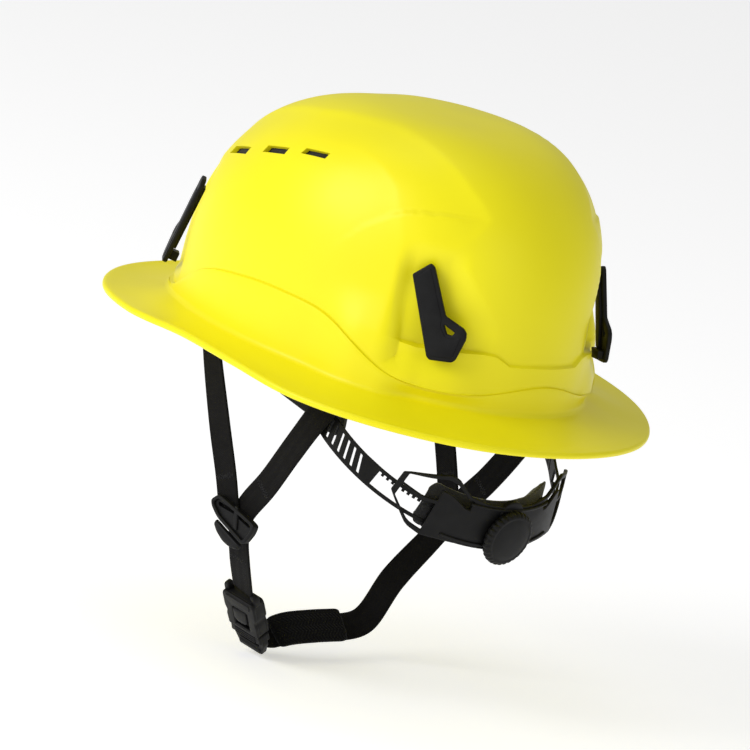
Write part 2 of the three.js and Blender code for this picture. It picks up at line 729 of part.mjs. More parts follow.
const w16 = webbing.width;
const frontStrapRoute = [
  { at: [83, -46, 2], across: [0.26, 0.97, 0.4], width: w16 },
  { at: [83.8, -39.6, -13], across: [0.15, 1, 0.45], width: w16 },
  { at: [84.4, -21.8, -50], across: [0, 1, 0.45], width: w16 },
  { at: [83.4, -9, -78], across: [0, 1, 0.4], width: w16 },
  { at: [82.8, -2, -97], across: [0, 1, 0.3], width: w16 },
];
const rearStrapRoute = [
  { at: [76.1, 60.9, 1.5], across: [-0.39, 0.85, -0.36], width: w16 },
  { at: [84.6, 49.6, -26], across: [-0.06, 0.83, -0.55], width: w16 },
  { at: [84.6, 36.4, -48], across: [0, 0.83, -0.55], width: w16 },
  { at: [82.6, 21.4, -71], across: [0, 0.83, -0.55], width: w16 },
  { at: [81.2, 9.5, -86], across: [0, 0.85, -0.5], width: w16 },
  { at: [81.2, 4.5, -95], across: [0, 0.9, -0.4], width: w16 },
];
const lowerStrapRoute = [
  { at: [79.6, 4, -91], across: [0, 1, 0], width: w16 },
  { at: [79.6, 4.4, -104], across: [0, 1, 0], width: w16 },
  { at: [73, 2, -119], across: [0, 1, 0], width: w16 },
  { at: [59.4, -4.6, -139], across: [0, 1, -0.1], width: w16 },
];
const chinStrapRoute = [
  { at: [32.7, -11.8, -169], across: [0, 0.95, -0.25], width: w16 },
  { at: [27.4, -10.2, -167], across: [0, 0.75, -0.66], width: w16 },
  { at: [19, -9, -164.6], across: [0, 0.66, -0.75], width: w16 },
  { at: [0, -8.6, -163.3], across: [0, 0.64, -0.77], width: w16 },
  { at: [-22, -8.4, -163], across: [0, 0.64, -0.77], width: w16 },
  { at: [-38, -6.6, -158.6], across: [0, 0.7, -0.7], width: w16 },
  { at: [-51, -3.2, -134], across: [-0.1, 0.83, -0.5], width: w16 },
  { at: [-67.5, 0.8, -112], across: [-0.05, 0.9, -0.35], width: w16 },
  { at: [-79.6, 4, -96], across: [0, 1, -0.2], width: w16 },
];
const strapSet = [
  ribbon('front_strap_left', frontStrapRoute, webbing.thickness, blackWebbing()),
  ribbon('rear_strap_left', rearStrapRoute, webbing.thickness, blackWebbing()),
  ribbon('lower_strap_left', lowerStrapRoute, webbing.thickness, blackWebbing()),
  ribbon('chin_strap', chinStrapRoute, webbing.thickness, blackWebbing()),
];
strapSet.push(mirrored(strapSet[0], 'front_strap_right'));
strapSet.push(mirrored(strapSet[1], 'rear_strap_right'));

function chinPad() {
  const route = chinStrapRoute.slice(1, 5).map(({ at: [x, y, z], across }) => ({
    at: [x, y + 2.7, z + 2.3], across, width: 19,
  }));
  return ribbon('chin_pad', route, 5, blackWebbing());
}

// Strap divider: a slanted D-shaped slider with a crescent lock lever along its lower edge.
const dividerOutline = [[-13.8, -89.7], [-8.6, -85.2], [19.2, -92.4], [23.2, -94], [22, -99],
  [18.2, -104.7], [15.4, -106.4], [-6.6, -97.9], [-12.4, -93]];
const dividerSlots = [
  [[-9, -89.6], [5.4, -90.8], [5.6, -92.6], [-8.6, -91.6]],
  [[7.4, -92], [18.6, -94.8], [18, -96.6], [7.2, -93.8]],
];
const leverOutline = [[-8.6, -99.4], [13.6, -107.9], [12.7, -110.4], [8, -111.2], [0.4, -109.6],
  [-6.6, -105.2], [-9.6, -101.6]];

function sideSlab(name, outline, holes, x, height) {
  const matrix = frameMatrix(new THREE.Vector3(0, 1, 0), new THREE.Vector3(0, 0, 1),
    new THREE.Vector3(1, 0, 0), new THREE.Vector3(x, 0, 0));
  return slab(name, outline, holes, height, matrix, blackPlastic());
}

const dividerLeft = sideSlab('strap_divider_left', dividerOutline, dividerSlots, 84, 4.2);
const leverLeft = sideSlab('lock_lever_left', leverOutline, [], 84.6, 3);
const dividerRight = mirrored(dividerLeft, 'strap_divider_right');
const leverRight = mirrored(leverLeft, 'lock_lever_right');

// Side-release buckle between the left strap and the chin strap.
const buckleDown = new THREE.Vector3(-26, -8, -37).normalize();
const buckleFace = new THREE.Vector3().crossVectors(new THREE.Vector3(0, 1, 0), buckleDown)
  .negate().normalize();
const buckleSide = new THREE.Vector3().crossVectors(buckleDown, buckleFace).normalize();
const buckleOrigin = new THREE.Vector3(58.4, -5.4, -140.6);

function buckleMatrix(lift) {
  const origin = buckleOrigin.clone().addScaledVector(buckleFace, lift);
  return frameMatrix(buckleSide, buckleDown, buckleFace, origin);
}

function buckleSlab(name, outline, lift, height, holes = []) {
  return slab(name, outline, holes, height, buckleMatrix(lift), blackPlastic());
}

const receiverOutline = [[-11, 0.6], [11, 0.6], [12.2, 3], [12.2, 12], [10.8, 15], [11.8, 18],
  [11.4, 25.5], [-11.4, 25.5], [-11.8, 18], [-10.8, 15], [-12.2, 12], [-12.2, 3]];
const receiverShell = buckleSlab('shell', receiverOutline, -4.2, 9);
const receiverCavity = buckleSlab('cavity', [[-9.4, 5], [9.4, 5], [9.4, 30], [-9.4, 30]], -2, 4.6);
const buttonWell = buckleSlab('well', [[-5.6, 9.6], [5.6, 9.6], [5.6, 23], [-5.6, 23]], 1, 8);
const buckleReceiver = cut('buckle_receiver', receiverShell, [receiverCavity, buttonWell],
  blackPlastic());
const tongueOutline = [[-11.4, 25.9], [-6.9, 25.9], [-8.9, 8], [-5, 6], [-3.6, 22], [3.6, 22],
  [5, 6], [8.9, 8], [6.9, 25.9], [11.4, 25.9], [11.8, 33], [8.4, 41.4], [-8.4, 41.4],
  [-11.8, 33]];
const tongue = buckleSlab('tongue', tongueOutline, -1.6, 3.8,
  [[[-7.6, 33.2], [7.6, 33.2], [7.2, 36], [-7.2, 36]]]);
const heel = buckleSlab('heel', [[-11.2, 25.9], [11.2, 25.9], [11.6, 31.4], [-11.6, 31.4]],
  -3.6, 7.6);
const buckleInsert = joined('buckle_insert', tongue, [heel], blackPlastic());
const buckleButton = buckleSlab('buckle_button',
  [[-5.2, 10], [5.2, 10], [5.2, 17.4], [3.2, 19.2], [-3.2, 19.2], [-5.2, 17.4]], 3, 2.6);

export default group3(
  outerShell(), impactLiner, crownPad, sidePadLeft, sidePadRight, frontPad, rearPad,
  frontBand, browPad, hangerLeft, hangerRight, armLeft, armRight,
  cradleHousing, cradleCover, napePad, dialKnobMesh, pinionMesh, dialScrew,
  clipRearLeft, clipRearRight, clipFrontLeft, clipFrontRight,
  anchorFrontLeft, anchorFrontRight, anchorRearLeft, anchorRearRight,
  ...strapSet, chinPad(), dividerLeft, dividerRight, leverLeft, leverRight,
  buckleReceiver, buckleInsert, buckleButton,
);
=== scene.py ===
"""Visual model of a full-brim safety helmet with a ratchet nape cradle and a chin harness.

Lengths inside the shape functions are millimetres in the row frame (+Z up, peak toward -Y,
the wearer's left at +X). Meshes are written in metres.
"""

import math

import bmesh
import bpy
import numpy as np
from mathutils import Matrix, Vector


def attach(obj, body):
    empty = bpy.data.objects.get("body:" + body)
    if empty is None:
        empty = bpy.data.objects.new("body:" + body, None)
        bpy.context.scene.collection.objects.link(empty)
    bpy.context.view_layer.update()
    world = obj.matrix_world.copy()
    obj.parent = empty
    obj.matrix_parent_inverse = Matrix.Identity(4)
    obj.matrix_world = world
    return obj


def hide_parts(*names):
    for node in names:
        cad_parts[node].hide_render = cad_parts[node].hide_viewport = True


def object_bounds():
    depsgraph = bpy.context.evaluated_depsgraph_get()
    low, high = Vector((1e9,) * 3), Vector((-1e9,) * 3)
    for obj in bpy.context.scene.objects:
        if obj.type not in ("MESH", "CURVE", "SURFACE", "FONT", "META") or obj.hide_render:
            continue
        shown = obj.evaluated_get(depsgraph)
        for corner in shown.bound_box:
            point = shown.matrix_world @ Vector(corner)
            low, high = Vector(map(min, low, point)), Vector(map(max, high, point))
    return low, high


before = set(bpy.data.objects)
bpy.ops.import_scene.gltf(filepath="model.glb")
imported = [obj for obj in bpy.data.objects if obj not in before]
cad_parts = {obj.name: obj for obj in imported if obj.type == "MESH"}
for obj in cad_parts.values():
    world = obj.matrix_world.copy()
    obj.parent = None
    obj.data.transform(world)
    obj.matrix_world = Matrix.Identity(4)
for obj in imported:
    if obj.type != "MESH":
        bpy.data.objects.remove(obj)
cad_low, cad_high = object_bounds()

MM = 0.001
RAD = math.pi / 180


# ---- camera, light and floor
def basis(right, up, back, origin):
    matrix = Matrix((right, up, back)).transposed().to_4x4()
    matrix.translation = origin
    return matrix


def make_camera():
    turn, pitch = 44 * RAD, 16.2 * RAD
    right = Vector((-math.cos(turn), math.sin(turn) * math.cos(pitch), math.sin(turn) * math.sin(pitch)))
    up = Vector((0, -math.sin(pitch), math.cos(pitch)))
    back = right.cross(up).normalized()
    data = bpy.data.cameras.new("camera")
    data.lens = 400
    data.clip_start = 0.05
    data.clip_end = 60
    camera = bpy.data.objects.new("camera", data)
    bpy.context.scene.collection.objects.link(camera)
    middle = right * -0.0012 + up * -0.0155
    distance = 0.4074 / 2 / (18 / data.lens)
    camera.matrix_world = basis(right, up, back, middle + back * distance)
    bpy.context.scene.camera = camera


def area_light(name, place, target, size, watts, tint=(1, 1, 1)):
    data = bpy.data.lights.new(name, "AREA")
    data.shape = "RECTANGLE"
    data.size, data.size_y = size
    data.energy = watts
    data.color = tint
    light = bpy.data.objects.new(name, data)
    bpy.context.scene.collection.objects.link(light)
    light.location = place
    aim = Vector(target) - Vector(place)
    light.rotation_euler = aim.to_track_quat("-Z", "Y").to_euler()


def link(name, data):
    made = bpy.data.objects.new(name, data)
    bpy.context.scene.collection.objects.link(made)
    return made


def make_studio():
    world = bpy.data.worlds.new("studio")
    world.use_nodes = True
    sky = world.node_tree.nodes["Background"]
    sky.inputs["Color"].default_value = (1, 1, 1, 1)
    sky.inputs["Strength"].default_value = 0.44
    bpy.context.scene.world = world
    bpy.context.scene.view_settings.view_transform = "Standard"
    area_light("key", (2.0, -0.5, 1.1), (0, 0, 0.03), (1.5, 1.3), 32)
    area_light("fill", (0.3, 2.6, 0.9), (0, 0, 0), (1.6, 1.2), 4)
    area_light("top", (0.1, -0.4, 2.4), (0, 0, 0), (1.4, 1.4), 5)
    mesh = bpy.data.meshes.new("floor")
    z = cad_low.z - 0.002
    mesh.from_pydata([(-9, -9, z), (9, -9, z), (9, 9, z), (-9, 9, z)], [], [(0, 1, 2, 3)])
    floor = link("floor", mesh)
    paint, tree, shader = new_material("floor_paint", (0.93, 0.93, 0.93), 0.85)
    shader.inputs["Emission Color"].default_value = (1, 1, 1, 1)
    shader.inputs["Emission Strength"].default_value = 0.4
    floor.data.materials.append(paint)


# ---- materials
def new_material(name, colour, roughness):
    material = bpy.data.materials.new(name)
    material.use_nodes = True
    tree = material.node_tree
    shader = tree.nodes["Principled BSDF"]
    shader.inputs["Base Color"].default_value = (*colour, 1)
    shader.inputs["Roughness"].default_value = roughness
    return material, tree, shader


def node(tree, kind, **settings):
    made = tree.nodes.new(kind)
    for key, value in settings.items():
        if key in made.inputs:
            made.inputs[key].default_value = value
        else:
            setattr(made, key, value)
    return made


def maths(tree, operation, a, b=None):
    made = tree.nodes.new("ShaderNodeMath")
    made.operation = operation
    for k, value in enumerate((a, b)):
        if value is None:
            continue
        if isinstance(value, (int, float)):
            made.inputs[k].default_value = value
        else:
            tree.links.new(value, made.inputs[k])
    return made.outputs[0]


def noise(tree, scale, detail=2.0):
    place = tree.nodes.new("ShaderNodeTexCoord")
    made = node(tree, "ShaderNodeTexNoise", Scale=scale, Detail=detail)
    tree.links.new(place.outputs["Object"], made.inputs["Vector"])
    return made.outputs["Fac"]


def tinted(tree, shader, factor, dark, light, low=0.3, high=0.7):
    ramp = tree.nodes.new("ShaderNodeValToRGB")
    ramp.color_ramp.elements[0].position = low
    ramp.color_ramp.elements[1].position = high
    ramp.color_ramp.elements[0].color = (*dark, 1)
    ramp.color_ramp.elements[1].color = (*light, 1)
    tree.links.new(factor, ramp.inputs["Fac"])
    tree.links.new(ramp.outputs["Color"], shader.inputs["Base Color"])


def rough_from(tree, shader, factor, low, high):
    span = node(tree, "ShaderNodeMapRange")
    span.inputs["To Min"].default_value = low
    span.inputs["To Max"].default_value = high
    tree.links.new(factor, span.inputs["Value"])
    tree.links.new(span.outputs["Result"], shader.inputs["Roughness"])


def bumped(tree, shader, height, depth_mm, strength=1.0):
    bump = node(tree, "ShaderNodeBump", Strength=strength, Distance=depth_mm * MM)
    tree.links.new(height, bump.inputs["Height"])
    tree.links.new(bump.outputs["Normal"], shader.inputs["Normal"])


def gloss_shell():
    material, tree, shader = new_material("shell_yellow", (0.9, 0.85, 0.006), 0.4)
    tinted(tree, shader, noise(tree, 14), (0.87, 0.775, 0.004), (0.91, 0.82, 0.005))
    rough_from(tree, shader, noise(tree, 60, 4), 0.36, 0.44)
    bumped(tree, shader, noise(tree, 900, 2), 0.02, 0.35)
    shader.inputs["IOR"].default_value = 1.48
    shader.inputs["Specular IOR Level"].default_value = 0.32
    return material


def satin_plastic(name, dark, light, low, high):
    material, tree, shader = new_material(name, dark, 0.45)
    tinted(tree, shader, noise(tree, 120, 4), dark, light)
    rough_from(tree, shader, noise(tree, 260, 5), low, high)
    bumped(tree, shader, noise(tree, 2600, 3), 0.05, 0.5)
    shader.inputs["Specular IOR Level"].default_value = 0.16
    return material


def woven(name, dark, light, pitch, column, depth):
    """Ribs across a strap in a herringbone, from the mesh's own weave coordinate in millimetres."""
    material, tree, shader = new_material(name, dark, 0.85)
    shader.inputs["Specular IOR Level"].default_value = 0.08
    place = node(tree, "ShaderNodeAttribute", attribute_name="weave")
    split = tree.nodes.new("ShaderNodeSeparateXYZ")
    tree.links.new(place.outputs["Vector"], split.inputs[0])
    u, v = split.outputs[0], split.outputs[1]
    zig = maths(tree, "PINGPONG", maths(tree, "ADD", u, 400), column)
    ribs = maths(tree, "SINE", maths(tree, "MULTIPLY", maths(tree, "ADD", v, zig), 2 * math.pi / pitch))
    warps = maths(tree, "SINE", maths(tree, "MULTIPLY", u, 2 * math.pi / (pitch * 0.62)))
    height = maths(tree, "ADD", maths(tree, "MULTIPLY", ribs, 0.7), maths(tree, "MULTIPLY", warps, 0.3))
    # Colour follows the rib height: painted shade darkens the grooves and lightens the ribs, with random tone
    # from noise added on top.
    groove_shade_and_tone = maths(tree, "ADD", maths(tree, "MULTIPLY", height, 0.35), noise(tree, 180, 3))
    tinted(tree, shader, groove_shade_and_tone, dark, light, 0.15, 0.95)
    bumped(tree, shader, height, depth, 0.9)
    shader.inputs["Sheen Weight"].default_value = 0.04
    shader.inputs["Sheen Roughness"].default_value = 0.5
    return material


def foam(name, dark, light, scale, depth):
    material, tree, shader = new_material(name, dark, 0.92)
    place = tree.nodes.new("ShaderNodeTexCoord")
    beads = node(tree, "ShaderNodeTexVoronoi", Scale=scale)
    tree.links.new(place.outputs["Object"], beads.inputs["Vector"])
    # Colour darkens from each bead's middle to its edge, where the bump sinks: painted shade in the crevices
    # between the beads.
    tinted(tree, shader, beads.outputs["Distance"], light, dark, 0.1, 0.8)
    bumped(tree, shader, maths(tree, "MULTIPLY", beads.outputs["Distance"], -1.0), depth, 0.8)
    shader.inputs["Sheen Weight"].default_value = 0.1
    return material


def knit(name, dark, light, scale):
    """Brushed knit over foam: fine loops from two crossed waves with a little noise."""
    material, tree, shader = new_material(name, dark, 0.95)
    place = tree.nodes.new("ShaderNodeTexCoord")
    waves = []
    for direction in ("X", "Z"):
        wave = node(tree, "ShaderNodeTexWave", Scale=scale, Distortion=1.2)
        wave.bands_direction = direction
        tree.links.new(place.outputs["Object"], wave.inputs["Vector"])
        waves.append(wave.outputs["Fac"])
    height = maths(tree, "MULTIPLY", waves[0], waves[1])
    # Colour follows the loop height: painted shade darkens the hollows between the loops, with random tone
    # from noise added on top.
    tinted(tree, shader, maths(tree, "ADD", height, noise(tree, 90, 3)), dark, light, 0.3, 1.1)
    bumped(tree, shader, height, 0.25, 0.8)
    shader.inputs["Sheen Weight"].default_value = 0.3
    return material


def brushed_metal():
    material, tree, shader = new_material("steel_brushed", (0.33, 0.34, 0.35), 0.35)
    shader.inputs["Metallic"].default_value = 1.0
    rough_from(tree, shader, noise(tree, 700, 4), 0.25, 0.45)
    bumped(tree, shader, noise(tree, 1500, 2), 0.02, 0.4)
    return material


make_camera()
SHELL = gloss_shell()
BLACK = satin_plastic("plastic_black", (0.0042, 0.0042, 0.0045), (0.0075, 0.0075, 0.0080), 0.42, 0.54)
GREY = satin_plastic("plastic_grey", (0.030, 0.031, 0.033), (0.040, 0.041, 0.043), 0.42, 0.54)
WEB = woven("webbing_black", (0.0030, 0.0028, 0.0029), (0.0065, 0.0060, 0.0062), 1.1, 2.7, 0.10)
CHIN = woven("chin_pad_weave", (0.0022, 0.0022, 0.0023), (0.0038, 0.0037, 0.0038), 2.4, 3.2, 0.24)
LINER = foam("liner_foam", (0.011, 0.011, 0.012), (0.021, 0.021, 0.023), 420, 0.25)
PAD = knit("pad_knit", (0.010, 0.010, 0.011), (0.022, 0.022, 0.024), 420)
STEEL = brushed_metal()
THREAD = satin_plastic("thread", (0.016, 0.016, 0.017), (0.03, 0.03, 0.031), 0.6, 0.8)
make_studio()


# ---- mesh making
def piece(name, points, faces, material, body, replaces=(), sharp=38):
    mesh = bpy.data.meshes.new(name)
    mesh.from_pydata((np.asarray(points, float) * MM).tolist(), [], [list(f) for f in faces])
    mesh.materials.append(material)
    made = link(name, mesh)
    return settle(made, body, replaces, sharp)


def settle(made, body, replaces=(), sharp=38):
    mesh = made.data
    work = bmesh.new()
    work.from_mesh(mesh)
    bmesh.ops.remove_doubles(work, verts=work.verts, dist=2e-7)
    bmesh.ops.recalc_face_normals(work, faces=work.faces)
    if work.calc_volume(signed=True) < 0:
        bmesh.ops.reverse_faces(work, faces=work.faces)
    work.to_mesh(mesh)
    work.free()
    mesh.shade_smooth()
    mesh.set_sharp_from_angle(angle=sharp * RAD)
    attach(made, body)
    if replaces:
        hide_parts(*replaces)
    return made


def bevelled(made, width):
    edge = made.modifiers.new("edges", "BEVEL")
    edge.width = width * MM
    edge.segments = 2
    edge.limit_method = "ANGLE"
    edge.angle_limit = 32 * RAD
    edge.use_clamp_overlap = True


def ring_faces(rings, count):
    faces = []
    for r in range(rings - 1):
        for k in range(count):
            n = (k + 1) % count
            faces.append((r * count + k, r * count + n, (r + 1) * count + n, (r + 1) * count + k))
    return faces


def capped_rings(rings, first, last):
    """Points and faces of closed rings with a single pole point at each end."""
    count = len(rings[0])
    points = [first] + [p for ring in rings for p in ring] + [last]
    faces = [(0, 1 + (k + 1) % count, 1 + k) for k in range(count)]
    faces += [tuple(1 + i for i in f) for f in ring_faces(len(rings), count)]
    base = 1 + (len(rings) - 1) * count
    end = len(points) - 1
    faces += [(base + k, base + (k + 1) % count, end) for k in range(count)]
    return points, faces


def smooth(a, b, x):
    t = np.clip((np.asarray(x, float) - a) / (b - a), 0, 1)
    return t * t * (3 - 2 * t)


# ---- dome surface
HALF_WIDTH, REAR, FRONT, SPRING, TOP = 96.8, 127, 133.4, 10, 136.1
SQUARENESS = [3.25, 3.75, 3.35, 2.68, 2.15]
WALL, BAND_STEP, POCKET = 3.2, 2.2, 5
RIM_RADIUS = [164.5, 162, 153.5, 143.5, 131, 128.5, 141, 154, 161.5, 163]
RIM_LOW = [-15.5, -15, -13, -9.6, -4.2, -1.2, -1.4, -0.9, -0.5, -0.5]
RIM_THICK = 4
JUNCTION = [-3, -1, 3, 5, 2.5]
STEP = [14, 6.5, 9, 30, 35.5, 34.5, 28, 10, 8, 8]


def folded(azimuth):
    return np.abs((np.asarray(azimuth, float) + 540) % 360 - 180)


def azimuth_curve(values, azimuth):
    """Smooth values given at equal azimuth steps from the rear (0) to the front (180)."""
    v = np.array([values[1], *values, values[-2], values[-3]], float)
    t = folded(azimuth) * (len(values) - 1) / 180
    k = np.minimum(t.astype(int), len(values) - 2)
    u = t - k
    m0, m1 = (v[k + 2] - v[k]) / 2, (v[k + 3] - v[k + 1]) / 2
    return ((2 * u**3 - 3 * u**2 + 1) * v[k + 1] + (u**3 - 2 * u**2 + u) * m0
            + (3 * u**2 - 2 * u**3) * v[k + 2] + (u**3 - u**2) * m1)


def base_radius(azimuth, depth=0.0):
    s, c = np.sin(np.asarray(azimuth) * RAD), np.cos(np.asarray(azimuth) * RAD)
    length = np.where(c > 0, REAR, FRONT) - depth
    return 1 / np.hypot(c / length, s / (HALF_WIDTH - depth))


def pocket(azimuth, z):
    """Flattened facets under the four clips; the rear pair widens toward the rear middle."""
    a = folded(azimuth)
    along = smooth(84, 62, z) * smooth(13.5, 18, z)
    front = (1 - smooth(5, 10.5, np.abs(a - 149))) * along
    inner = np.interp(z, [30, 44, 70], [15.5, 15.5, 25.0])
    ramp = np.clip((a - inner) / (29.5 - inner), 0, 1)
    rear = ramp * (1 - smooth(39, 44.5, a)) * along
    return POCKET * np.maximum(front, rear)


def dome(azimuth, w, depth=0.0):
    azimuth, w = np.broadcast_arrays(np.asarray(azimuth, float), np.asarray(w, float))
    n = azimuth_curve(SQUARENESS, azimuth)
    z = SPRING + (TOP - depth - SPRING) * w
    inset = np.maximum(1 - np.maximum(w, 0) ** n, 0) ** (1 / n)
    r = base_radius(azimuth, depth) * inset - pocket(azimuth, z)
    return np.stack([r * np.sin(azimuth * RAD), r * np.cos(azimuth * RAD), z], -1)


def at_radius(azimuth, r, z):
    return np.stack([r * np.sin(azimuth * RAD), r * np.cos(azimuth * RAD), z + 0 * r], -1)


def height_fraction(z):
    return (z - SPRING) / (TOP - SPRING)


# ---- outer shell
def chart(points):
    """Flat map of the dome: direction from the top, and distance over the surface from it."""
    step = np.linalg.norm(np.diff(points, axis=0), axis=2)
    first = np.linalg.norm(points[0] - np.array([0, 0, TOP]), axis=1)
    run = first[None, :] + np.concatenate([np.zeros((1, points.shape[1])), np.cumsum(step, 0)])
    way = points[..., :2] / np.maximum(np.linalg.norm(points[..., :2], axis=2), 1e-6)[..., None]
    return way * run[..., None]


def ridge(places, line, amount, width, fade):
    """Push-in beside a ridge line: nothing on its inner side, a fold on its outer side."""
    x, y = np.abs(places[..., 0]), places[..., 1]
    best = np.full(x.shape, 1e9)
    side = np.ones(x.shape)
    share = np.ones(x.shape)
    for k in range(len(line) - 1):
        (ax, ay), (bx, by) = line[k], line[k + 1]
        dx, dy = bx - ax, by - ay
        long = dx * dx + dy * dy
        t = np.clip(((x - ax) * dx + (y - ay) * dy) / long, 0, 1)
        d = np.hypot(x - ax - t * dx, y - ay - t * dy)
        near = d < best
        best = np.where(near, d, best)
        side = np.where(near, np.sign((x - ax) * dy - (y - ay) * dx), side)
        share = np.where(near, fade[k] + t * (fade[k + 1] - fade[k]), share)
    s = np.where(side > 0, best, 0)
    return amount * share * (s / width) * np.exp(1 - s / width)


TOP_RIDGE = [(30, -128), (42, -100), (49, -68), (58, -18), (55, 10), (50, 33), (48, 70), (46, 95), (42, 116),
             (56, 121), (80, 122)]
TOP_FADE = [0, 0.5, 1, 1, 1, 1, 1, 1, 0.9, 0.5, 0]
SIDE_RIDGE = [(82, -14), (76, 35), (77, 53), (80, 69), (88, 84), (97, 107), (99, 135)]
SIDE_FADE = [0, 0.8, 1, 1, 0.9, 0.5, 0]


def ledge_line(azimuth):
    """Height of the upper edge of the raised rear band, low in the middle between the clips."""
    a = folded(azimuth)
    return np.interp(a, [0, 11, 14.8, 18, 30, 34, 42, 60], [24.8, 24.8, 29.4, 29.8, 27.5, 27, 29, 39])


def shell_rings():
    a = np.arange(0, 360, 1.0)
    step_z = azimuth_curve(STEP, a)
    guide = np.maximum(ledge_line(a), step_z + 4)
    rows = []
    for f in np.linspace(0, 1, 74)[1:]:
        rows.append(TOP - (TOP - guide - 0.8) * (f ** 1.5 * 0.35 + f * 0.65) + 0 * a)
    for lift in (0.45, 0.1, -0.25, -0.6):
        rows.append(guide + lift)
    for f in (0.3, 0.6, 0.85):
        rows.append(guide - 0.6 - (guide - 0.6 - step_z - 0.9) * f)
    rows.append(step_z + 0.9)
    z = np.array(rows)
    skin = dome(np.broadcast_to(a, z.shape), height_fraction(z))
    places = chart(skin)
    push = ridge(places, TOP_RIDGE, 1.7, 15, TOP_FADE) + ridge(places, SIDE_RIDGE, 0.8, 16, SIDE_FADE)
    t = folded(a)
    band = (2.0 + 2.8 * smooth(14, 26, t)) * (1 - smooth(34, 44, t)) * smooth(0.7, -0.7, z - ledge_line(a))
    swell = 6.5 * smooth(32, 44, t) * (1 - smooth(50, 68, t))
    raised = band + swell * smooth(54, 24, z)
    along_u = np.gradient(skin, axis=0)
    along_v = (np.roll(skin, -1, 1) - np.roll(skin, 1, 1))
    normal = np.cross(along_u, along_v)
    normal /= np.maximum(np.linalg.norm(normal, axis=2), 1e-9)[..., None]
    flip = np.sign((normal * (skin - np.array([0, 0, 30]))).sum(2))
    skin = skin + normal * (flip * (raised - push))[..., None]
    rings = [skin[k] for k in range(len(skin))]

    def step_ring(lift, out):
        level = step_z + lift
        p = dome(a, height_fraction(level))
        extra = band[-1] * (1 if out < 1 else 0.35) + swell
        return at_radius(a, np.hypot(p[:, 0], p[:, 1]) + out + extra, level)

    rings += [step_ring(0.65, 0.25), step_ring(0.5, 0.9), step_ring(0.4, BAND_STEP - 0.6),
              step_ring(0.1, BAND_STEP - 0.15), step_ring(-0.5, BAND_STEP)]
    joint_z = azimuth_curve(JUNCTION, a)
    low = np.hypot(*rings[-1][:, :2].T)
    foot = base_radius(a) + BAND_STEP + 0.2 + swell
    for t in (0.25, 0.5, 0.75, 1.0):
        rings.append(at_radius(a, low + (foot - low) * t, step_z - 0.5 + (joint_z + 3.6 - step_z + 0.5) * t))
    rim_r, rim_z = azimuth_curve(RIM_RADIUS, a), azimuth_curve(RIM_LOW, a)
    for lift, out in ((2.3, 0.25), (1.3, 0.8), (0.5, 1.7), (0.1, 2.9)):
        rings.append(at_radius(a, base_radius(a) + BAND_STEP + out + swell, joint_z + lift))

    def across(t, drop, start=2.9):
        r0 = base_radius(a) + BAND_STEP + start + swell
        sag = 1.1 * np.sin(math.pi * t)
        return at_radius(a, r0 + (rim_r - r0) * t, joint_z + (rim_z + RIM_THICK - joint_z) * t - drop - sag)

    for t in (0.12, 0.27, 0.42, 0.57, 0.72, 0.85):
        rings.append(across(t, 0))
    for inward, up in ((2.6, 4.0), (1.5, 3.95), (0.7, 3.6), (0.2, 3.0), (0, 2.2), (0.1, 1.4), (0.55, 0.7),
                       (1.3, 0.25), (2.2, 0.1), (3.2, 0.3), (4.4, 0.8)):
        rings.append(at_radius(a, rim_r - inward, rim_z + up))
    for t in (0.84, 0.7, 0.5, 0.3, 0.12):
        rings.append(across(t, 3))
    for inward, drop in ((-0.6, 3.4), (1.2, 3.3)):
        rings.append(at_radius(a, base_radius(a) - inward, joint_z - drop))
    rings.append(dome(a, 0 * a, WALL))
    for w in (0.02, 0.05, 0.09, 0.14, 0.2, 0.28, 0.36, 0.44, 0.52, 0.6, 0.68, 0.76, 0.83, 0.89, 0.94, 0.975,
              0.993):
        rings.append(dome(a, w + 0 * a, WALL))
    return rings


VENTS = [(132, 93, 26, 4.8, 0.27), (107.5, 103, 21, 4.4, 0.26), (86, 109.5, 18.5, 3.8, 0.15)]


def skin_point(azimuth, z):
    return Vector(dome(azimuth, height_fraction(z)))


def vent_frame(azimuth, z, rise, side):
    origin = skin_point(azimuth, z)
    level = skin_point(azimuth - 1, z) - skin_point(azimuth + 1, z)
    steep = skin_point(azimuth, z + 1) - skin_point(azimuth, z - 1)
    out = steep.cross(level).normalized()
    if out.z < 0:
        out = -out
    along = level.normalized() + Vector((0, 0, rise))
    along = (along - out * along.dot(out)).normalized()
    for v in (origin, out, along):
        v.x *= side
    return origin, along, out.cross(along) * side, out


def make_shell():
    points, faces = capped_rings(shell_rings(), (0, 0, TOP), (0, 0, TOP - WALL))
    shell = piece("shell", points, faces, SHELL, "helmet", ["outer_shell"], 50)
    corners, sides = [], []
    for side in (1, -1):
        for azimuth, z, length, height, rise in VENTS:
            origin, along, up, out = vent_frame(azimuth, z, rise, side)
            h, v, n = length / 2, height / 2, len(corners)
            for deep, grow in ((-9, 0), (-1.2, 0), (2.5, 3.2)):
                loop = [(-h - 1 - grow * 0.5, -v - grow * 0.35), (h - 1.2 + grow * 0.2, -v - grow * 0.35),
                        (h + grow * 0.2, v + grow * 0.1), (-h + 1 - grow * 0.5, v + grow * 0.1)]
                corners += [origin + along * x + up * y + out * deep for x, y in loop]
            sides += [tuple(n + i for i in f) for f in ring_faces(3, 4)]
            sides += [(n + 3, n + 2, n + 1, n), (n + 8, n + 9, n + 10, n + 11)]
    cutter = piece("cutter", [tuple(c) for c in corners], sides, SHELL, "helmet")
    cut = shell.modifiers.new("vents", "BOOLEAN")
    cut.object = cutter
    cut.operation = "DIFFERENCE"
    cut.solver = "EXACT"
    made = bpy.data.meshes.new_from_object(shell.evaluated_get(bpy.context.evaluated_depsgraph_get()))
    shell.modifiers.clear()
    shell.data = made
    made.shade_smooth()
    made.set_sharp_from_angle(angle=40 * RAD)
    bpy.data.objects.remove(cutter)


make_shell()


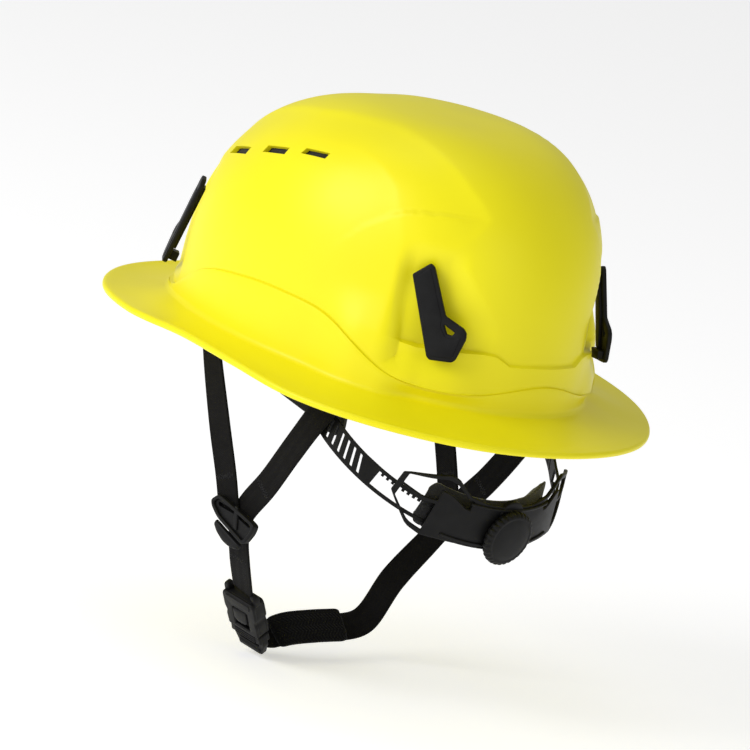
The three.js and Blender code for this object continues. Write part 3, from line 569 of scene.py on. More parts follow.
# ---- foam liner and pads
def make_liner():
    """Foam liner with shallow radial channels on its inner face."""
    a = np.arange(0, 360, 2.0)
    levels = [0.02, 0.06, 0.12, 0.2, 0.28, 0.36, 0.44, 0.52, 0.6, 0.68, 0.76, 0.83, 0.89, 0.94, 0.975]
    outside, inside = WALL + 0.5, WALL + 0.5 + 12.8
    rings = []
    for w in reversed(levels):
        off = np.abs((a % 36) - 18)
        groove = 3.0 * smooth(5.5, 3.5, off) * smooth(0.93, 0.85, w) * smooth(0.08, 0.16, w)
        rings.append(np.array([dome(x, w, inside - g) for x, g in zip(a, groove)]))
    lip = np.array([dome(x, levels[0], inside - 1.5) for x in a]) - np.array([0, 0, 0.9])
    rings.append(lip)
    rings.append(np.array([dome(x, levels[0], outside + 1.5) for x in a]) - np.array([0, 0, 0.9]))
    for w in levels:
        rings.append(dome(a, w + 0 * a, outside))
    points, faces = capped_rings(rings, (0, 0, TOP - inside), (0, 0, TOP - outside))
    piece("liner", points, faces, LINER, "helmet", ["impact_liner"], 45)


make_liner()


def cushion(name, surface, size, low, high, body, replaces, channels=(), steps=(44, 28)):
    """Padded patch. surface(u, v, depth) places a point with u and v from -1 to 1; the crowned face is
    at high, the flat face at low, and the edge is a thin sewn rim."""
    nu, nv = steps
    us, vs = np.linspace(-1, 1, nu), np.linspace(-1, 1, nv)
    top, bottom = [], []
    for u in us:
        for v in vs:
            x, y = u * size[0], v * size[1]
            ex, ey = size[0] - abs(x), size[1] - abs(y)
            corner = 7.0
            if ex < corner and ey < corner:
                edge = corner - math.hypot(corner - ex, corner - ey)
            else:
                edge = min(ex, ey)
            sewn = smooth(0, 1.8, edge)
            crown = 0.32 + 0.68 * float(smooth(1.4, 9, edge))
            for axis, place, width in channels:
                d = abs((u if axis == "u" else v) - place) * (size[0] if axis == "u" else size[1])
                crown *= 1 - 0.62 * math.exp(-((d / width) ** 2))
            if edge < 0:
                scale = 1 + edge * 0.9 / math.hypot(x, y)
                u2, v2 = u * scale, v * scale
            else:
                pinch = 1.2 * (1 - min(ex, ey) / min(size)) ** 2
                u2 = u * (1 - pinch / size[0] * 0.4 * (1 - abs(v) ** 2))
                v2 = v * (1 - pinch / size[1] * 0.6 * (1 - abs(u) ** 2))
            thick = 0.16 + 0.84 * crown * float(sewn)
            bottom.append(surface(u2, v2, low))
            top.append(surface(u2, v2, low + (high - low) * max(thick, 0.12)))
    count = nu * nv
    points = top + bottom
    faces = []
    for i in range(nu - 1):
        for j in range(nv - 1):
            a, b, c, d = i * nv + j, (i + 1) * nv + j, (i + 1) * nv + j + 1, i * nv + j + 1
            faces.append((a, b, c, d))
            faces.append((count + d, count + c, count + b, count + a))
    rim = [i * nv for i in range(nu)] + [(nu - 1) * nv + j for j in range(1, nv)]
    rim += [i * nv + nv - 1 for i in range(nu - 2, -1, -1)] + [j for j in range(nv - 2, 0, -1)]
    for k, a in enumerate(rim):
        b = rim[(k + 1) % len(rim)]
        faces.append((b, a, count + a, count + b))
    made = piece(name, [tuple(p) for p in points], faces, PAD, body, replaces, 60)
    return made


PAD_OUT = WALL + 0.5 + 12.8 + 0.5


def dome_pad(name, node_name, azimuths, levels, size):
    def surface(u, v, depth):
        azimuth = (azimuths[0] + azimuths[1]) / 2 + u * (azimuths[1] - azimuths[0]) / 2
        w = (levels[0] + levels[1]) / 2 + v * (levels[1] - levels[0]) / 2
        return dome(azimuth, w, depth)
    cushion(name, surface, size, PAD_OUT + 1.9, PAD_OUT + 6.4, "helmet", [node_name], [("u", 0, 3.5)])


dome_pad("side_cushion_left", "side_pad_left", (62, 112), (0.3, 0.62), (32, 21))
dome_pad("side_cushion_right", "side_pad_right", (-62, -112), (0.3, 0.62), (32, 21))
dome_pad("front_cushion", "front_pad", (160, 200), (0.5, 0.8), (32, 22))
dome_pad("rear_cushion", "rear_pad", (-20, 20), (0.25, 0.6), (36, 23))


def crown_surface(u, v, depth):
    """The square patch laid round the dome's top: rings of the square become rings of the dome."""
    reach = max(abs(u), abs(v)) or 1e-6
    return dome(math.degrees(math.atan2(u * 40, v * 44)), 1 - 0.1 * reach ** 2.2, depth)


cushion("crown_cushion", crown_surface, (38, 42), PAD_OUT, PAD_OUT + 4.5, "helmet", ["crown_pad"],
        [("u", 0, 3), ("v", 0, 3)], steps=(40, 40))


# ---- bands, plates and sweeps
def swept(name, places, across, half_section, material, body, replaces=(), sharp=50, weave=True):
    """Closed sweep: half_section gives (across, thick) pairs of the loop, in millimetres, per station."""
    places = np.asarray(places, float)
    along = np.gradient(places, axis=0)
    along /= np.linalg.norm(along, axis=1)[:, None]
    wide = np.asarray(across, float)
    wide = wide - along * (wide * along).sum(1)[:, None]
    wide /= np.linalg.norm(wide, axis=1)[:, None]
    thick = np.cross(along, wide)
    run = np.concatenate([[0], np.cumsum(np.linalg.norm(np.diff(places, axis=0), axis=1))])
    points, coordinates = [], []
    count = None
    for k in range(len(places)):
        loop = half_section(k, run[k], run[-1])
        count = len(loop)
        for x, y in loop:
            points.append(places[k] + wide[k] * x + thick[k] * y)
            coordinates.append((x, run[k], y))
    faces = ring_faces(len(places), count)
    faces.append(tuple(range(count)))
    end = (len(places) - 1) * count
    faces.append(tuple(end + k for k in reversed(range(count))))
    mesh = bpy.data.meshes.new(name)
    mesh.from_pydata((np.array(points) * MM).tolist(), [], faces)
    mesh.materials.append(material)
    if weave:
        store = mesh.attributes.new("weave", "FLOAT_VECTOR", "POINT")
        store.data.foreach_set("vector", np.array(coordinates, np.float32).ravel())
    made = link(name, mesh)
    return settle(made, body, replaces, sharp)


def spline_path(controls, step=1.6):
    """Centripetal curve through the control rows; returns evenly spaced rows."""
    rows = np.array(controls, float)
    rows = np.vstack([2 * rows[0] - rows[1], rows, 2 * rows[-1] - rows[-2]])
    dense = []
    for k in range(1, len(rows) - 2):
        p0, p1, p2, p3 = rows[k - 1:k + 3]
        t = [0]
        for a, b in ((p0, p1), (p1, p2), (p2, p3)):
            t.append(t[-1] + max(np.linalg.norm(a[:3] - b[:3]), 1e-6) ** 0.5)
        for s in np.linspace(t[1], t[2], 40, endpoint=False):
            a1 = p0 + (p1 - p0) * (s - t[0]) / (t[1] - t[0])
            a2 = p1 + (p2 - p1) * (s - t[1]) / (t[2] - t[1])
            a3 = p2 + (p3 - p2) * (s - t[2]) / (t[3] - t[2])
            b1 = a1 + (a2 - a1) * (s - t[0]) / (t[2] - t[0])
            b2 = a2 + (a3 - a2) * (s - t[1]) / (t[3] - t[1])
            dense.append(b1 + (b2 - b1) * (s - t[1]) / (t[2] - t[1]))
    dense.append(rows[-2])
    dense = np.array(dense)
    run = np.concatenate([[0], np.cumsum(np.linalg.norm(np.diff(dense[:, :3], axis=0), axis=1))])
    want = np.linspace(0, run[-1], max(int(run[-1] / step), 4) + 1)
    return np.stack([np.interp(want, run, dense[:, c]) for c in range(dense.shape[1])], 1)


def strap_section(width, thickness):
    """Flat woven section with a slightly thicker selvedge on each edge."""
    half = width / 2
    xs = np.array([-1, -0.985, -0.95, -0.88, -0.8, -0.6, -0.3, 0, 0.3, 0.6, 0.8, 0.88, 0.95, 0.985, 1]) * half
    edge = [0.0, 0.62, 0.95, 1.12, 1.0, 0.96]
    body = np.array(edge + [1, 1, 1] + edge[::-1]) * thickness / 2

    upper = list(zip(xs, body))
    lower = [(x, -y) for x, y in zip(xs[-2:0:-1], body[-2:0:-1])]
    return lambda k, run, total: upper + lower


def between(at, run, rows):
    return np.array([np.interp(at, run, rows[:, c]) for c in range(3)])


def stitches(name, seams, body, length=2.0, gap=1.0, radius=0.26):
    """Rows of small thread stitches. Each seam is a list of (place, outward) rows along its line."""
    points, faces = [], []
    for seam in seams:
        line = np.array([s[0] for s in seam], float)
        outs = np.array([s[1] for s in seam], float)
        run = np.concatenate([[0], np.cumsum(np.linalg.norm(np.diff(line, axis=0), axis=1))])
        at = length / 2
        while at + length / 2 < run[-1]:
            mid, ahead, behind = (between(at + d, run, line) for d in (0, 0.3, -0.3))
            out = between(at, run, outs)
            way = (ahead - behind) / np.linalg.norm(ahead - behind)
            out = out - way * (out @ way)
            out /= np.linalg.norm(out)
            other = np.cross(way, out)
            base = len(points)
            for s, r in ((-0.5, 0.25), (-0.38, 0.8), (0, 1.0), (0.38, 0.8), (0.5, 0.25)):
                for q in range(6):
                    c, d = math.cos(q * math.pi / 3) * r * radius, math.sin(q * math.pi / 3) * r * radius
                    points.append(mid + way * s * length + out * (c + 0.12) + other * d)
            faces += [tuple(base + i for i in f) for f in ring_faces(5, 6)]
            faces.append(tuple(base + i for i in range(6)))
            faces.append(tuple(base + 24 + i for i in reversed(range(6))))
            at += length + gap
    return piece(name, points, faces, THREAD, body, sharp=80)


# ---- headband
def band_rows(inset, start, stop, count):
    rows = []
    for t in np.linspace(start, stop, count):
        side = math.copysign(1, t)
        b = min(abs(t), 90) * RAD
        y = -(100 - inset) * math.cos(b) + max(abs(t) - 90, 0)
        x = side * (76 - inset) * math.sin(b)
        rows.append((x, y, -22.5 + 0.2 * (46 - y), 15 + 7 * float(smooth(90, 20, abs(t)))))
    return np.array(rows)


def make_headband():
    rows = band_rows(0, -129, 129, 150)

    def loop(k, run, total):
        half = rows[k, 3] / 2
        end = min(run, total - run)
        half *= math.sqrt(max(1 - max(1 - end / 6, 0) ** 2, 0.05))
        bead = [(-half, -0.3), (-half, 0.3), (-half + 0.4, 0.8), (-half + 1.4, 0.8), (-half + 1.9, 0.45),
                (0, 0.45), (half - 1.9, 0.45), (half - 1.4, 0.8), (half - 0.4, 0.8), (half, 0.3),
                (half, -0.3), (half - 0.4, -0.8), (0, -0.8), (-half + 0.4, -0.8)]
        return bead
    swept("headband", rows[:, :3], np.tile([0, 0, 1.0], (len(rows), 1)), loop, BLACK, "helmet",
          ["front_headband"], 40, False)

    def brow(u, v, depth):
        t = u * 66
        b = t * RAD
        out = 76 - depth, 100 - depth
        x, y = out[0] * math.sin(b), -out[1] * math.cos(b)
        half = (15 + 7 * float(smooth(90, 20, abs(t)))) * 0.46
        return np.array([x, y, -22.5 + 0.2 * (46 - y) + v * half])
    channels = [("u", at, 2.4) for at in (0, -0.36, 0.36, -0.7, 0.7)]
    cushion("brow_cushion", brow, (98, 10), 1.4, 6.4, "helmet", ["brow_pad"], channels, steps=(130, 18))


make_headband()


# ---- flat moulded plates
def rounded(loop, radius, steps=4):
    """Outline with its corners rounded, never by more than a third of a side."""
    out = []
    n = len(loop)
    for k in range(n):
        p, q, r = (np.array(loop[(k + d) % n], float) for d in (-1, 0, 1))
        a, b = p - q, r - q
        la, lb = np.linalg.norm(a), np.linalg.norm(b)
        cut = min(radius, la * 0.42, lb * 0.42)
        start, end = q + a / la * cut, q + b / lb * cut
        for s in range(steps + 1):
            t = s / steps
            out.append(tuple((1 - t) ** 2 * start + 2 * t * (1 - t) * q + t * t * end))
    return out


def plate(name, outline, holes, low, high, place, material, body, replaces=(), edge=0.5, corner=1.2):
    """Plate from an outline with holes, its edges rounded over, between heights low and high."""
    curve = bpy.data.curves.new(name, "CURVE")
    curve.dimensions = "2D"
    curve.fill_mode = "BOTH"
    for k, loop in enumerate([outline, *holes]):
        loop = rounded(loop, corner if k == 0 else corner * 0.6)
        spline = curve.splines.new("POLY")
        spline.points.add(len(loop) - 1)
        for point, (x, y) in zip(spline.points, loop):
            point.co = (x * MM, y * MM, 0, 1)
        spline.use_cyclic_u = True
    edge = min(edge, (high - low) * 0.45)
    curve.extrude = ((high - low) / 2 - edge) * MM
    curve.bevel_depth = edge * MM
    curve.bevel_resolution = 3
    curve.offset = -edge * MM
    source = bpy.data.objects.new(name, curve)
    bpy.context.scene.collection.objects.link(source)
    mesh = bpy.data.meshes.new_from_object(source.evaluated_get(bpy.context.evaluated_depsgraph_get()))
    bpy.data.objects.remove(source)
    mesh.transform(Matrix.Translation((0, 0, (low + high) / 2 * MM)))
    mesh.transform(metres(place))
    mesh.materials.clear()
    mesh.materials.append(material)
    return settle(link(name, mesh), body, replaces, 38)


def metres(place):
    """The same placement, with its origin in metres instead of millimetres."""
    placed = place.copy()
    placed.translation = placed.translation * MM
    return placed


def pillow(name, outline, low, high, place, material, body, replaces=(), corner=1.2, crown=0.55):
    """Plate whose top is domed: outline rings drawn in toward the middle while they rise."""
    loop = np.array(rounded(outline, corner, 5))
    middle = loop.mean(0)
    rings = [[(*p, low) for p in middle + (loop - middle) * 0.94], [(*p, low + 0.35) for p in loop]]
    for t in np.linspace(0, 1, 9):
        scale = math.cos(t * math.pi / 2 * 0.97)
        swell = crown * math.sin(t * math.pi / 2) + (1 - crown) * min(t * 4, 1)
        rise = low + 0.5 + (high - low - 0.5) * swell
        rings.append([(*p, rise) for p in middle + (loop - middle) * scale])
    points, faces = capped_rings(rings, (*middle, low), (*middle, high))
    world = [tuple(place @ Vector(p)) for p in points]
    return piece(name, world, faces, material, body, replaces, 50)


def lathe(name, profile, segments, place, material, body, replaces=(), ripple=None, sharp=40):
    """Turned solid about the local Y axis; profile rows are (radius, height)."""
    rings = []
    for r, h in profile:
        ring = []
        for k in range(segments):
            a = 2 * math.pi * k / segments
            rr = ripple(r, h, a) if ripple else r
            ring.append((rr * math.cos(a), h, rr * math.sin(a)))
        rings.append(ring)
    points, faces = capped_rings(rings, (0, profile[0][1], 0), (0, profile[-1][1], 0))
    world = [tuple(place @ Vector(p)) for p in points]
    return piece(name, world, faces, material, body, replaces, sharp)


SIDES = (("left", 1), ("right", -1))


def sided(place, side):
    return place if side > 0 else Matrix.Diagonal((-1, 1, 1, 1)) @ place


# ---- temple hangers
HANGER = [(-11, -8.5), (7, -10.5), (12, -6), (12, 6.5), (4, 10), (-11, 9)]
for word, side in SIDES:
    at = sided(basis(Vector((0, 1, 0)), Vector((0, 0, 1)), Vector((1, 0, 0)), Vector((70.2, 47, -24))), side)
    plate("hanger_" + word, HANGER, [], 0, 2, at, GREY, "helmet",
          ["temple_hanger_" + word], 0.4, 2.5)


# ---- cradle cone
CONE_TILT, CONE_ANGLE, CONE_RADIUS = 33 * RAD, 21 * RAD, 80
CONE_CENTRE = np.array([0, 50.4, -26.4])
CONE_AXIS = np.array([0, math.sin(CONE_TILT), math.cos(CONE_TILT)])
CONE_REAR = np.array([0, math.cos(CONE_TILT), -math.sin(CONE_TILT)])


def cone_point(psi, v, out):
    radial = np.array([math.sin(psi * RAD), 0, 0]) + CONE_REAR * math.cos(psi * RAD)
    up = CONE_AXIS * math.cos(CONE_ANGLE) - radial * math.sin(CONE_ANGLE)
    normal = radial * math.cos(CONE_ANGLE) + CONE_AXIS * math.sin(CONE_ANGLE)
    return CONE_CENTRE + radial * CONE_RADIUS + up * v + normal * out


def cell_plate(name, columns, rows, filled, place, material, body, replaces, edge):
    """Closed plate made of lattice cells; place(i, j, face) gives a node on face 0 or 1."""
    points, faces, seen = [], [], {}

    def has(i, j):
        return 0 <= i < columns and 0 <= j < rows and filled(i, j)

    def corner(i, j, face):
        if (i, j, face) not in seen:
            seen[(i, j, face)] = len(points)
            points.append(place(i, j, face))
        return seen[(i, j, face)]

    def wall(i0, j0, i1, j1):
        faces.append((corner(i0, j0, 1), corner(i0, j0, 0), corner(i1, j1, 0), corner(i1, j1, 1)))

    for i in range(columns):
        for j in range(rows):
            if not has(i, j):
                continue
            square = [(i, j), (i + 1, j), (i + 1, j + 1), (i, j + 1)]
            faces.append(tuple(corner(a, b, 1) for a, b in square))
            faces.append(tuple(corner(a, b, 0) for a, b in reversed(square)))
            if not has(i, j - 1):
                wall(i, j, i + 1, j)
            if not has(i + 1, j):
                wall(i + 1, j, i + 1, j + 1)
            if not has(i, j + 1):
                wall(i + 1, j + 1, i, j + 1)
            if not has(i - 1, j):
                wall(i, j + 1, i, j)
    bevelled(piece(name, points, faces, material, body, replaces, 40), edge)


ARM_HALF, ARM_MIDDLE, ARM_THICK = 6.4, 0.8, 1.4
LADDER_START, LADDER_PITCH, LADDER_SLOTS = 86.2, 3.7, 6
RACK_START, RACK_END, RACK_PITCH = 59, -16, 2.5


def make_arm(word, side, lift, teeth_up):
    """Band arm: six raked ladder slots behind the temple, then a slot with rack teeth on one side."""
    edges, kinds = [98, 95, 92, 90, LADDER_START], ["web"] * 4
    for k in range(LADDER_SLOTS):
        edges += [LADDER_START - k * LADDER_PITCH - 1.3, LADDER_START - (k + 1) * LADDER_PITCH]
        kinds += ["slot", "web"]
    edges.append(RACK_START)
    kinds.append("web")
    psi = RACK_START
    while psi - RACK_PITCH > RACK_END:
        edges += [psi - RACK_PITCH / 2, psi - RACK_PITCH]
        kinds += ["gap", "tooth"]
        psi -= RACK_PITCH
    edges += [psi - 2, psi - 5]
    kinds += ["web"] * 2
    rows = [-ARM_HALF, -4.4, -3, 3, 4.4, ARM_HALF]

    def filled(i, j):
        if j in (0, 4) or kinds[i] == "web":
            return True
        return kinds[i] == "tooth" and j == (3 if teeth_up else 1)

    def place(i, j, face):
        v, psi = rows[j], edges[i]
        rake = 0.4 * v if RACK_START + 2 < psi <= LADDER_START else 0
        if psi > 95 and j in (0, 5):
            v *= 0.72
        inner = -1.8 + lift * float(smooth(62, 48, psi))
        return cone_point(side * (psi + rake), v + ARM_MIDDLE, inner + (ARM_THICK if face else 0))
    cell_plate("arm_" + word, len(kinds), 5, filled, place, BLACK, word + "_arm",
               ["band_arm_" + word], 0.22)


make_arm("left", 1, 0, True)
make_arm("right", -1, 2.2, False)


# ---- cradle housing
LOW_EDGE = [(0, -8.3), (20, -8.3), (28, -9.3), (34, -10.8), (40, -9.4), (51.6, 2.6)]
TOP_EDGE = [(0, 17.4), (12, 17.8), (22, 19.6), (30, 26), (34, 26.4), (48.5, 17.2), (51.6, 14.4)]


def table(rows, x):
    return float(np.interp(x, [r[0] for r in rows], [r[1] for r in rows]))


def make_housing():
    """Curved plate whose ends are open six-sided loops with a cross bar."""
    half = [0, 2, 4, 6, 8, 10, 12, 14, 16, 18, 20, 22, 24, 26, 28, 29.5, 31, 32.5, 34, 36, 37.5, 39, 40.8,
            42.6, 44.4, 46.2, 49.2, 51.6]
    psis = [-p for p in reversed(half[1:])] + half
    shares = [0, 0.075, 0.2, 0.275, 0.51, 0.575, 0.74, 0.8, 0.92, 1]

    def filled(i, j):
        a = abs((psis[i] + psis[i + 1]) / 2)
        if a > 49.2:
            return True
        return (j < 6 or j == 8 or a < 20) if a < 34 else j % 4 == 0

    def place(i, j, face):
        a = abs(psis[i])
        low = table(LOW_EDGE, a)
        v = low + (table(TOP_EDGE, a) - low) * shares[j]
        belly = 0.9 * float(smooth(34, 20, a)) * (1 if 2 <= j <= 6 else 0) if face else 0
        return cone_point(psis[i], v, (4.3 if face else 2.3) + belly * 0.5)
    cell_plate("housing", len(psis) - 1, 9, filled, place, BLACK, "nape_cradle",
               ["cradle_housing"], 0.55)

    def rib(name, v0, v1, inner, outer, reach=33):
        list_ = np.linspace(-reach, reach, 45)
        cell_plate(name, 44, 1, lambda i, j: True,
                   lambda i, j, face: cone_point(list_[i], v1 if j else v0, outer if face else inner),
                   BLACK, "nape_cradle", (), 0.4)
    rib("housing_lip_upper", 7.7, 9.3, -2.1, 3.3)
    rib("housing_lip_lower", -8.0, -6.2, -2.1, 3.3)
    rib("housing_shelf", 15.2, 16.6, 2.6, 5.6, 21)
    rib("housing_step", -6.4, -5.0, 3.9, 5.5, 27)


make_housing()


def dial_place(lift=0.0, v=ARM_MIDDLE):
    origin = cone_point(0, v, 0)
    up = cone_point(0, v + 1, 0) - origin
    out = cone_point(0, v, 1) - origin
    along = np.cross(up, out)
    return basis(Vector(along), Vector(out), Vector(-up), Vector(origin + out * lift))


lathe("housing_boss", [(8.4, 1.4), (8.4, 4.1), (8.1, 4.4), (7.2, 4.6), (5, 4.65), (2.5, 4.65)], 48,
      dial_place(0, 12.4), BLACK, "nape_cradle")
lathe("dial_seat", [(13.2, 4.2), (13.2, 4.55), (12, 4.6), (3, 4.6)], 64, dial_place(), BLACK, "nape_cradle")


def grip(r, h, a):
    wave = 0.5 + 0.5 * math.cos(30 * a)
    share = float(smooth(13.8, 15.0, r))
    return r - share * 0.7 * wave ** 2


lathe("dial", [(3, 4.75), (14.1, 4.75), (15.0, 5.0), (15.7, 5.6), (16, 6.4), (16, 8.0), (15.6, 9.0),
               (14.8, 9.7), (14.0, 10.2), (13.2, 10.35), (12.6, 10.2), (12.3, 10.25), (11.4, 10.6),
               (9.0, 11.1), (6.0, 11.45), (2.6, 11.6)], 300, dial_place(), BLACK, "dial", ["dial_knob"],
      grip, 45)
for name in ("cradle_cover", "drive_pinion", "dial_screw"):
    cad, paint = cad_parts[name], STEEL if name == "dial_screw" else BLACK
    cad.data.materials.clear()
    cad.data.materials.append(paint)


def nape(u, v, depth):
    return cone_point(u * 38, 4.3 + v * 12.8, depth)


cushion("nape_cushion", nape, (53, 16), -4.7, -10.7, "nape_cradle", ["nape_pad"],
        [("u", 0, 2.6), ("u", -0.45, 2.6), ("u", 0.45, 2.6)], steps=(90, 26))


# ---- lamp clips
REAR_CLIP = [(-4.2, -5), (4.4, 3), (6.9, 1.5), (18.6, -22.3), (29.8, -26.4), (31.8, -28.6), (32.2, -32),
             (29, -43.8), (27.2, -45.6), (15.2, -47), (13.2, -45.6)]
REAR_HOLE = [(18.8, -26.9), (25.6, -29.8), (24.4, -31.6), (21.4, -31.4)]
REAR_FOOT = [(15.4, -45.4), (26.8, -44), (28, -39), (13.6, -40)]
REAR_PANEL = [(-1.6, -6.4), (4.4, 0.2), (5.4, -0.4), (17, -24.2), (17.2, -28.4), (21, -33.2), (26.2, -33.4),
              (29.6, -31.4), (27.2, -43.2), (15.8, -45), (14.6, -44.2)]
FRONT_CLIP = [(-5.6, -2), (-3.6, 1.6), (3.6, 2.6), (5.8, 0.4), (7.4, -10), (10.6, -26.5), (17, -31),
              (18.2, -34.5), (14.6, -48.6), (13.2, -50), (5, -50.4), (2.6, -49.2)]
FRONT_HOLE = [(9, -31.5), (11, -35.5), (14.2, -35.2), (12, -30.4)]
FRONT_FOOT = [(4.6, -47.8), (12.8, -47.8), (12.8, -42.6), (4.2, -42.6)]
FRONT_PANEL = [(-3.4, -7.6), (-2.2, -5.2), (3.6, -4.4), (5.6, -10), (8, -27.5), (8, -31), (10, -38),
               (14, -38.4), (12.6, -47), (5.2, -47.8)]


def make_clip(word, end, outline, hole, foot, panel, reach, rail, x, y, z, facing, sense, lean, side):
    n = facing * RAD
    out = Vector((math.sin(n), math.cos(n), 0))
    along = Vector((-math.cos(n), math.sin(n), 0)) * sense
    up = (Vector((0, 0, 1)) - out * lean).normalized()
    face = (out + Vector((0, 0, lean))).normalized()
    at = sided(basis(along, up, face, Vector((x, y, z))), side)
    name = "clip_" + end + "_" + word
    plate(name, outline, [hole], 0, 2.7, at, BLACK, "helmet", ["lamp_" + name], 0.7, 1.0)
    plate(name + "_panel", panel, [], 2.2, 3.0, at, BLACK, "helmet", (), 0.28, 1.0)
    plate(name + "_foot", foot, [], -reach, 0.6, at, BLACK, "helmet", (), 0.4, 0.6)
    plate(name + "_rail", rail, [], -1.5, 0.4, at, BLACK, "helmet", (), 0.3, 0.6)


for word, side in SIDES:
    make_clip(word, "rear", REAR_CLIP, REAR_HOLE, REAR_FOOT, REAR_PANEL, 3.4,
              [(0, -4), (5, 0.4), (17, -22), (20, -39), (15, -39.6)], 66.2, 87.6, 69, 60, 1, 0.107, side)
    make_clip(word, "front", FRONT_CLIP, FRONT_HOLE, FRONT_FOOT, FRONT_PANEL, 4.6,
              [(-3.6, -3), (3.2, -2), (9.4, -41), (5.2, -41.4)], 61.2, -93.4, 66, 130, -1, 0.25, side)


# ---- harness anchors
ANCHOR = [(-9.5, -5), (9.5, -5), (11, -2), (11, 6), (8, 9.5), (-8, 9.5), (-11, 6), (-11, -2)]
ANCHOR_SLOT = [(-8.4, -2.6), (8.4, -2.6), (8.4, -0.6), (-8.4, -0.6)]


def anchor_place(x, y, facing):
    a = facing * RAD
    out = Vector((math.sin(a), math.cos(a), 0))
    along = Vector((-math.cos(a), math.sin(a), 0))
    return basis(along, Vector((0, 0, 1)), out, Vector((x, y, 0)))


for word, side in SIDES:
    for end, x, y, facing in (("front", 84.5, -46, 105), ("rear", 77.3, 61.4, 67)):
        at = sided(anchor_place(x, y, facing), side)
        plate("anchor_" + end + "_" + word, ANCHOR, [ANCHOR_SLOT], 0, 2.6, at, BLACK, "helmet",
              ["strap_anchor_" + end + "_" + word], 0.5, 1.2)
        lathe("anchor_stud_" + end + "_" + word, [(2.6, 2.4), (2.6, 3.0), (2.2, 3.3), (0.8, 3.4)], 32,
              at @ Matrix.Translation((0, 4.4, 0)) @ Matrix.Rotation(math.pi / 2, 4, "X"),
              STEEL, "helmet")


# ---- webbing
FRONT_ROUTE = [(83, -46, 2, 0.26, 0.97, 0.4), (83.8, -39.6, -13, 0.15, 1, 0.45),
               (84.4, -21.8, -50, 0, 1, 0.45), (83.4, -9, -78, 0, 1, 0.4), (82.8, -2, -97, 0, 1, 0.3)]
REAR_ROUTE = [(76.1, 60.9, 1.5, -0.39, 0.85, -0.36), (84.6, 49.6, -26, -0.06, 0.83, -0.55),
              (84.6, 36.4, -48, 0, 0.83, -0.55), (82.6, 21.4, -71, 0, 0.83, -0.55),
              (81.2, 9.5, -86, 0, 0.85, -0.5), (81.2, 4.5, -95, 0, 0.9, -0.4)]
LOWER_ROUTE = [(79.6, 4, -91, 0, 1, 0), (79.6, 4.4, -104, 0, 1, 0), (73, 2, -119, 0, 1, 0),
               (59.4, -4.6, -139, 0, 1, -0.1)]
CHIN_ROUTE = [(32.7, -11.8, -169, 0, 0.95, -0.25), (27.4, -10.2, -167, 0, 0.75, -0.66),
              (19, -9, -164.6, 0, 0.66, -0.75), (0, -8.6, -163.3, 0, 0.64, -0.77),
              (-22, -8.4, -163, 0, 0.64, -0.77), (-38, -6.6, -158.6, 0, 0.7, -0.7),
              (-51, -3.2, -134, -0.1, 0.83, -0.5), (-67.5, 0.8, -112, -0.05, 0.9, -0.35),
              (-79.6, 4, -96, 0, 1, -0.2)]


def strap(name, route, node_name, side=1):
    rows = spline_path(route)
    if side < 0:
        rows[:, 0] *= -1
        rows[:, 3] *= -1
    return swept(name, rows[:, :3], rows[:, 3:], strap_section(16, 1.35), WEB, "helmet", [node_name])


for word, side in SIDES:
    strap("web_front_" + word, FRONT_ROUTE, "front_strap_" + word, side)
    strap("web_rear_" + word, REAR_ROUTE, "rear_strap_" + word, side)
strap("web_lower_left", LOWER_ROUTE, "lower_strap_left")
strap("web_chin", CHIN_ROUTE, "chin_strap")


def frame_of(rows, k):
    along = rows[min(k + 1, len(rows) - 1), :3] - rows[max(k - 1, 0), :3]
    along /= np.linalg.norm(along)
    wide = rows[k, 3:6] - along * (rows[k, 3:6] @ along)
    wide /= np.linalg.norm(wide)
    return along, wide, np.cross(along, wide)


def seam(rows, start, stop, across, lift):
    """Seam line along a strap between two shares of its length, at an offset across it."""
    line = []
    for k in range(int(start * (len(rows) - 1)), int(stop * (len(rows) - 1)) + 1):
        along, wide, thick = frame_of(rows, k)
        line.append((rows[k, :3] + wide * across + thick * lift, thick * math.copysign(1, lift)))
    return line


def bar_tack(rows, share, lift, half=6.2, zigs=9, run=2.4):
    k = int(share * (len(rows) - 1))
    along, wide, thick = frame_of(rows, k)
    line = []
    for i in range(zigs * 2 + 1):
        x = -half + 2 * half * i / (zigs * 2)
        line.append((rows[k, :3] + wide * x + along * run * (0.5 if i % 2 else -0.5) + thick * lift,
                     thick * math.copysign(1, lift)))
    return line


# ---- chin pad
def make_chin_pad():
    rows = spline_path([(x, y + 2.7, z + 2.3, a, b, c) for x, y, z, a, b, c in CHIN_ROUTE[1:5]], 1.3)

    def loop(k, run, total):
        end = min(run, total - run)
        round_off = math.sqrt(max(1 - max(1 - end / 4.5, 0) ** 2, 0.02))
        half = 9.5 * (0.9 + 0.1 * round_off)
        channel = 1 - 0.10 * math.exp(-(((run % 11.5) - 5.75) / 1.1) ** 2)
        upper, lower = [], []
        for t in np.linspace(-1, 1, 23):
            edge = (1 - abs(t)) * half
            puff = 0.30 + 0.70 * math.sin(min(edge / 4.2, 1) * math.pi / 2) ** 0.8
            sewn = 1 - 0.3 * math.exp(-(((edge - 1.7) / 0.5) ** 2))
            y = 2.5 * puff * sewn * channel * (0.45 + 0.55 * round_off)
            upper.append((t * half, y))
            lower.append((t * half, -min(y, 2.1)))
        return upper + list(reversed(lower))
    pad = swept("chin_cushion", rows[:, :3], rows[:, 3:], loop, CHIN, "helmet", ["chin_pad"], 70)
    lines = []
    for across in (-7.4, 7.4):
        lines.append(seam(rows, 0.06, 0.94, across, 1.9))
    stitches("chin_stitching", lines, "helmet")


make_chin_pad()


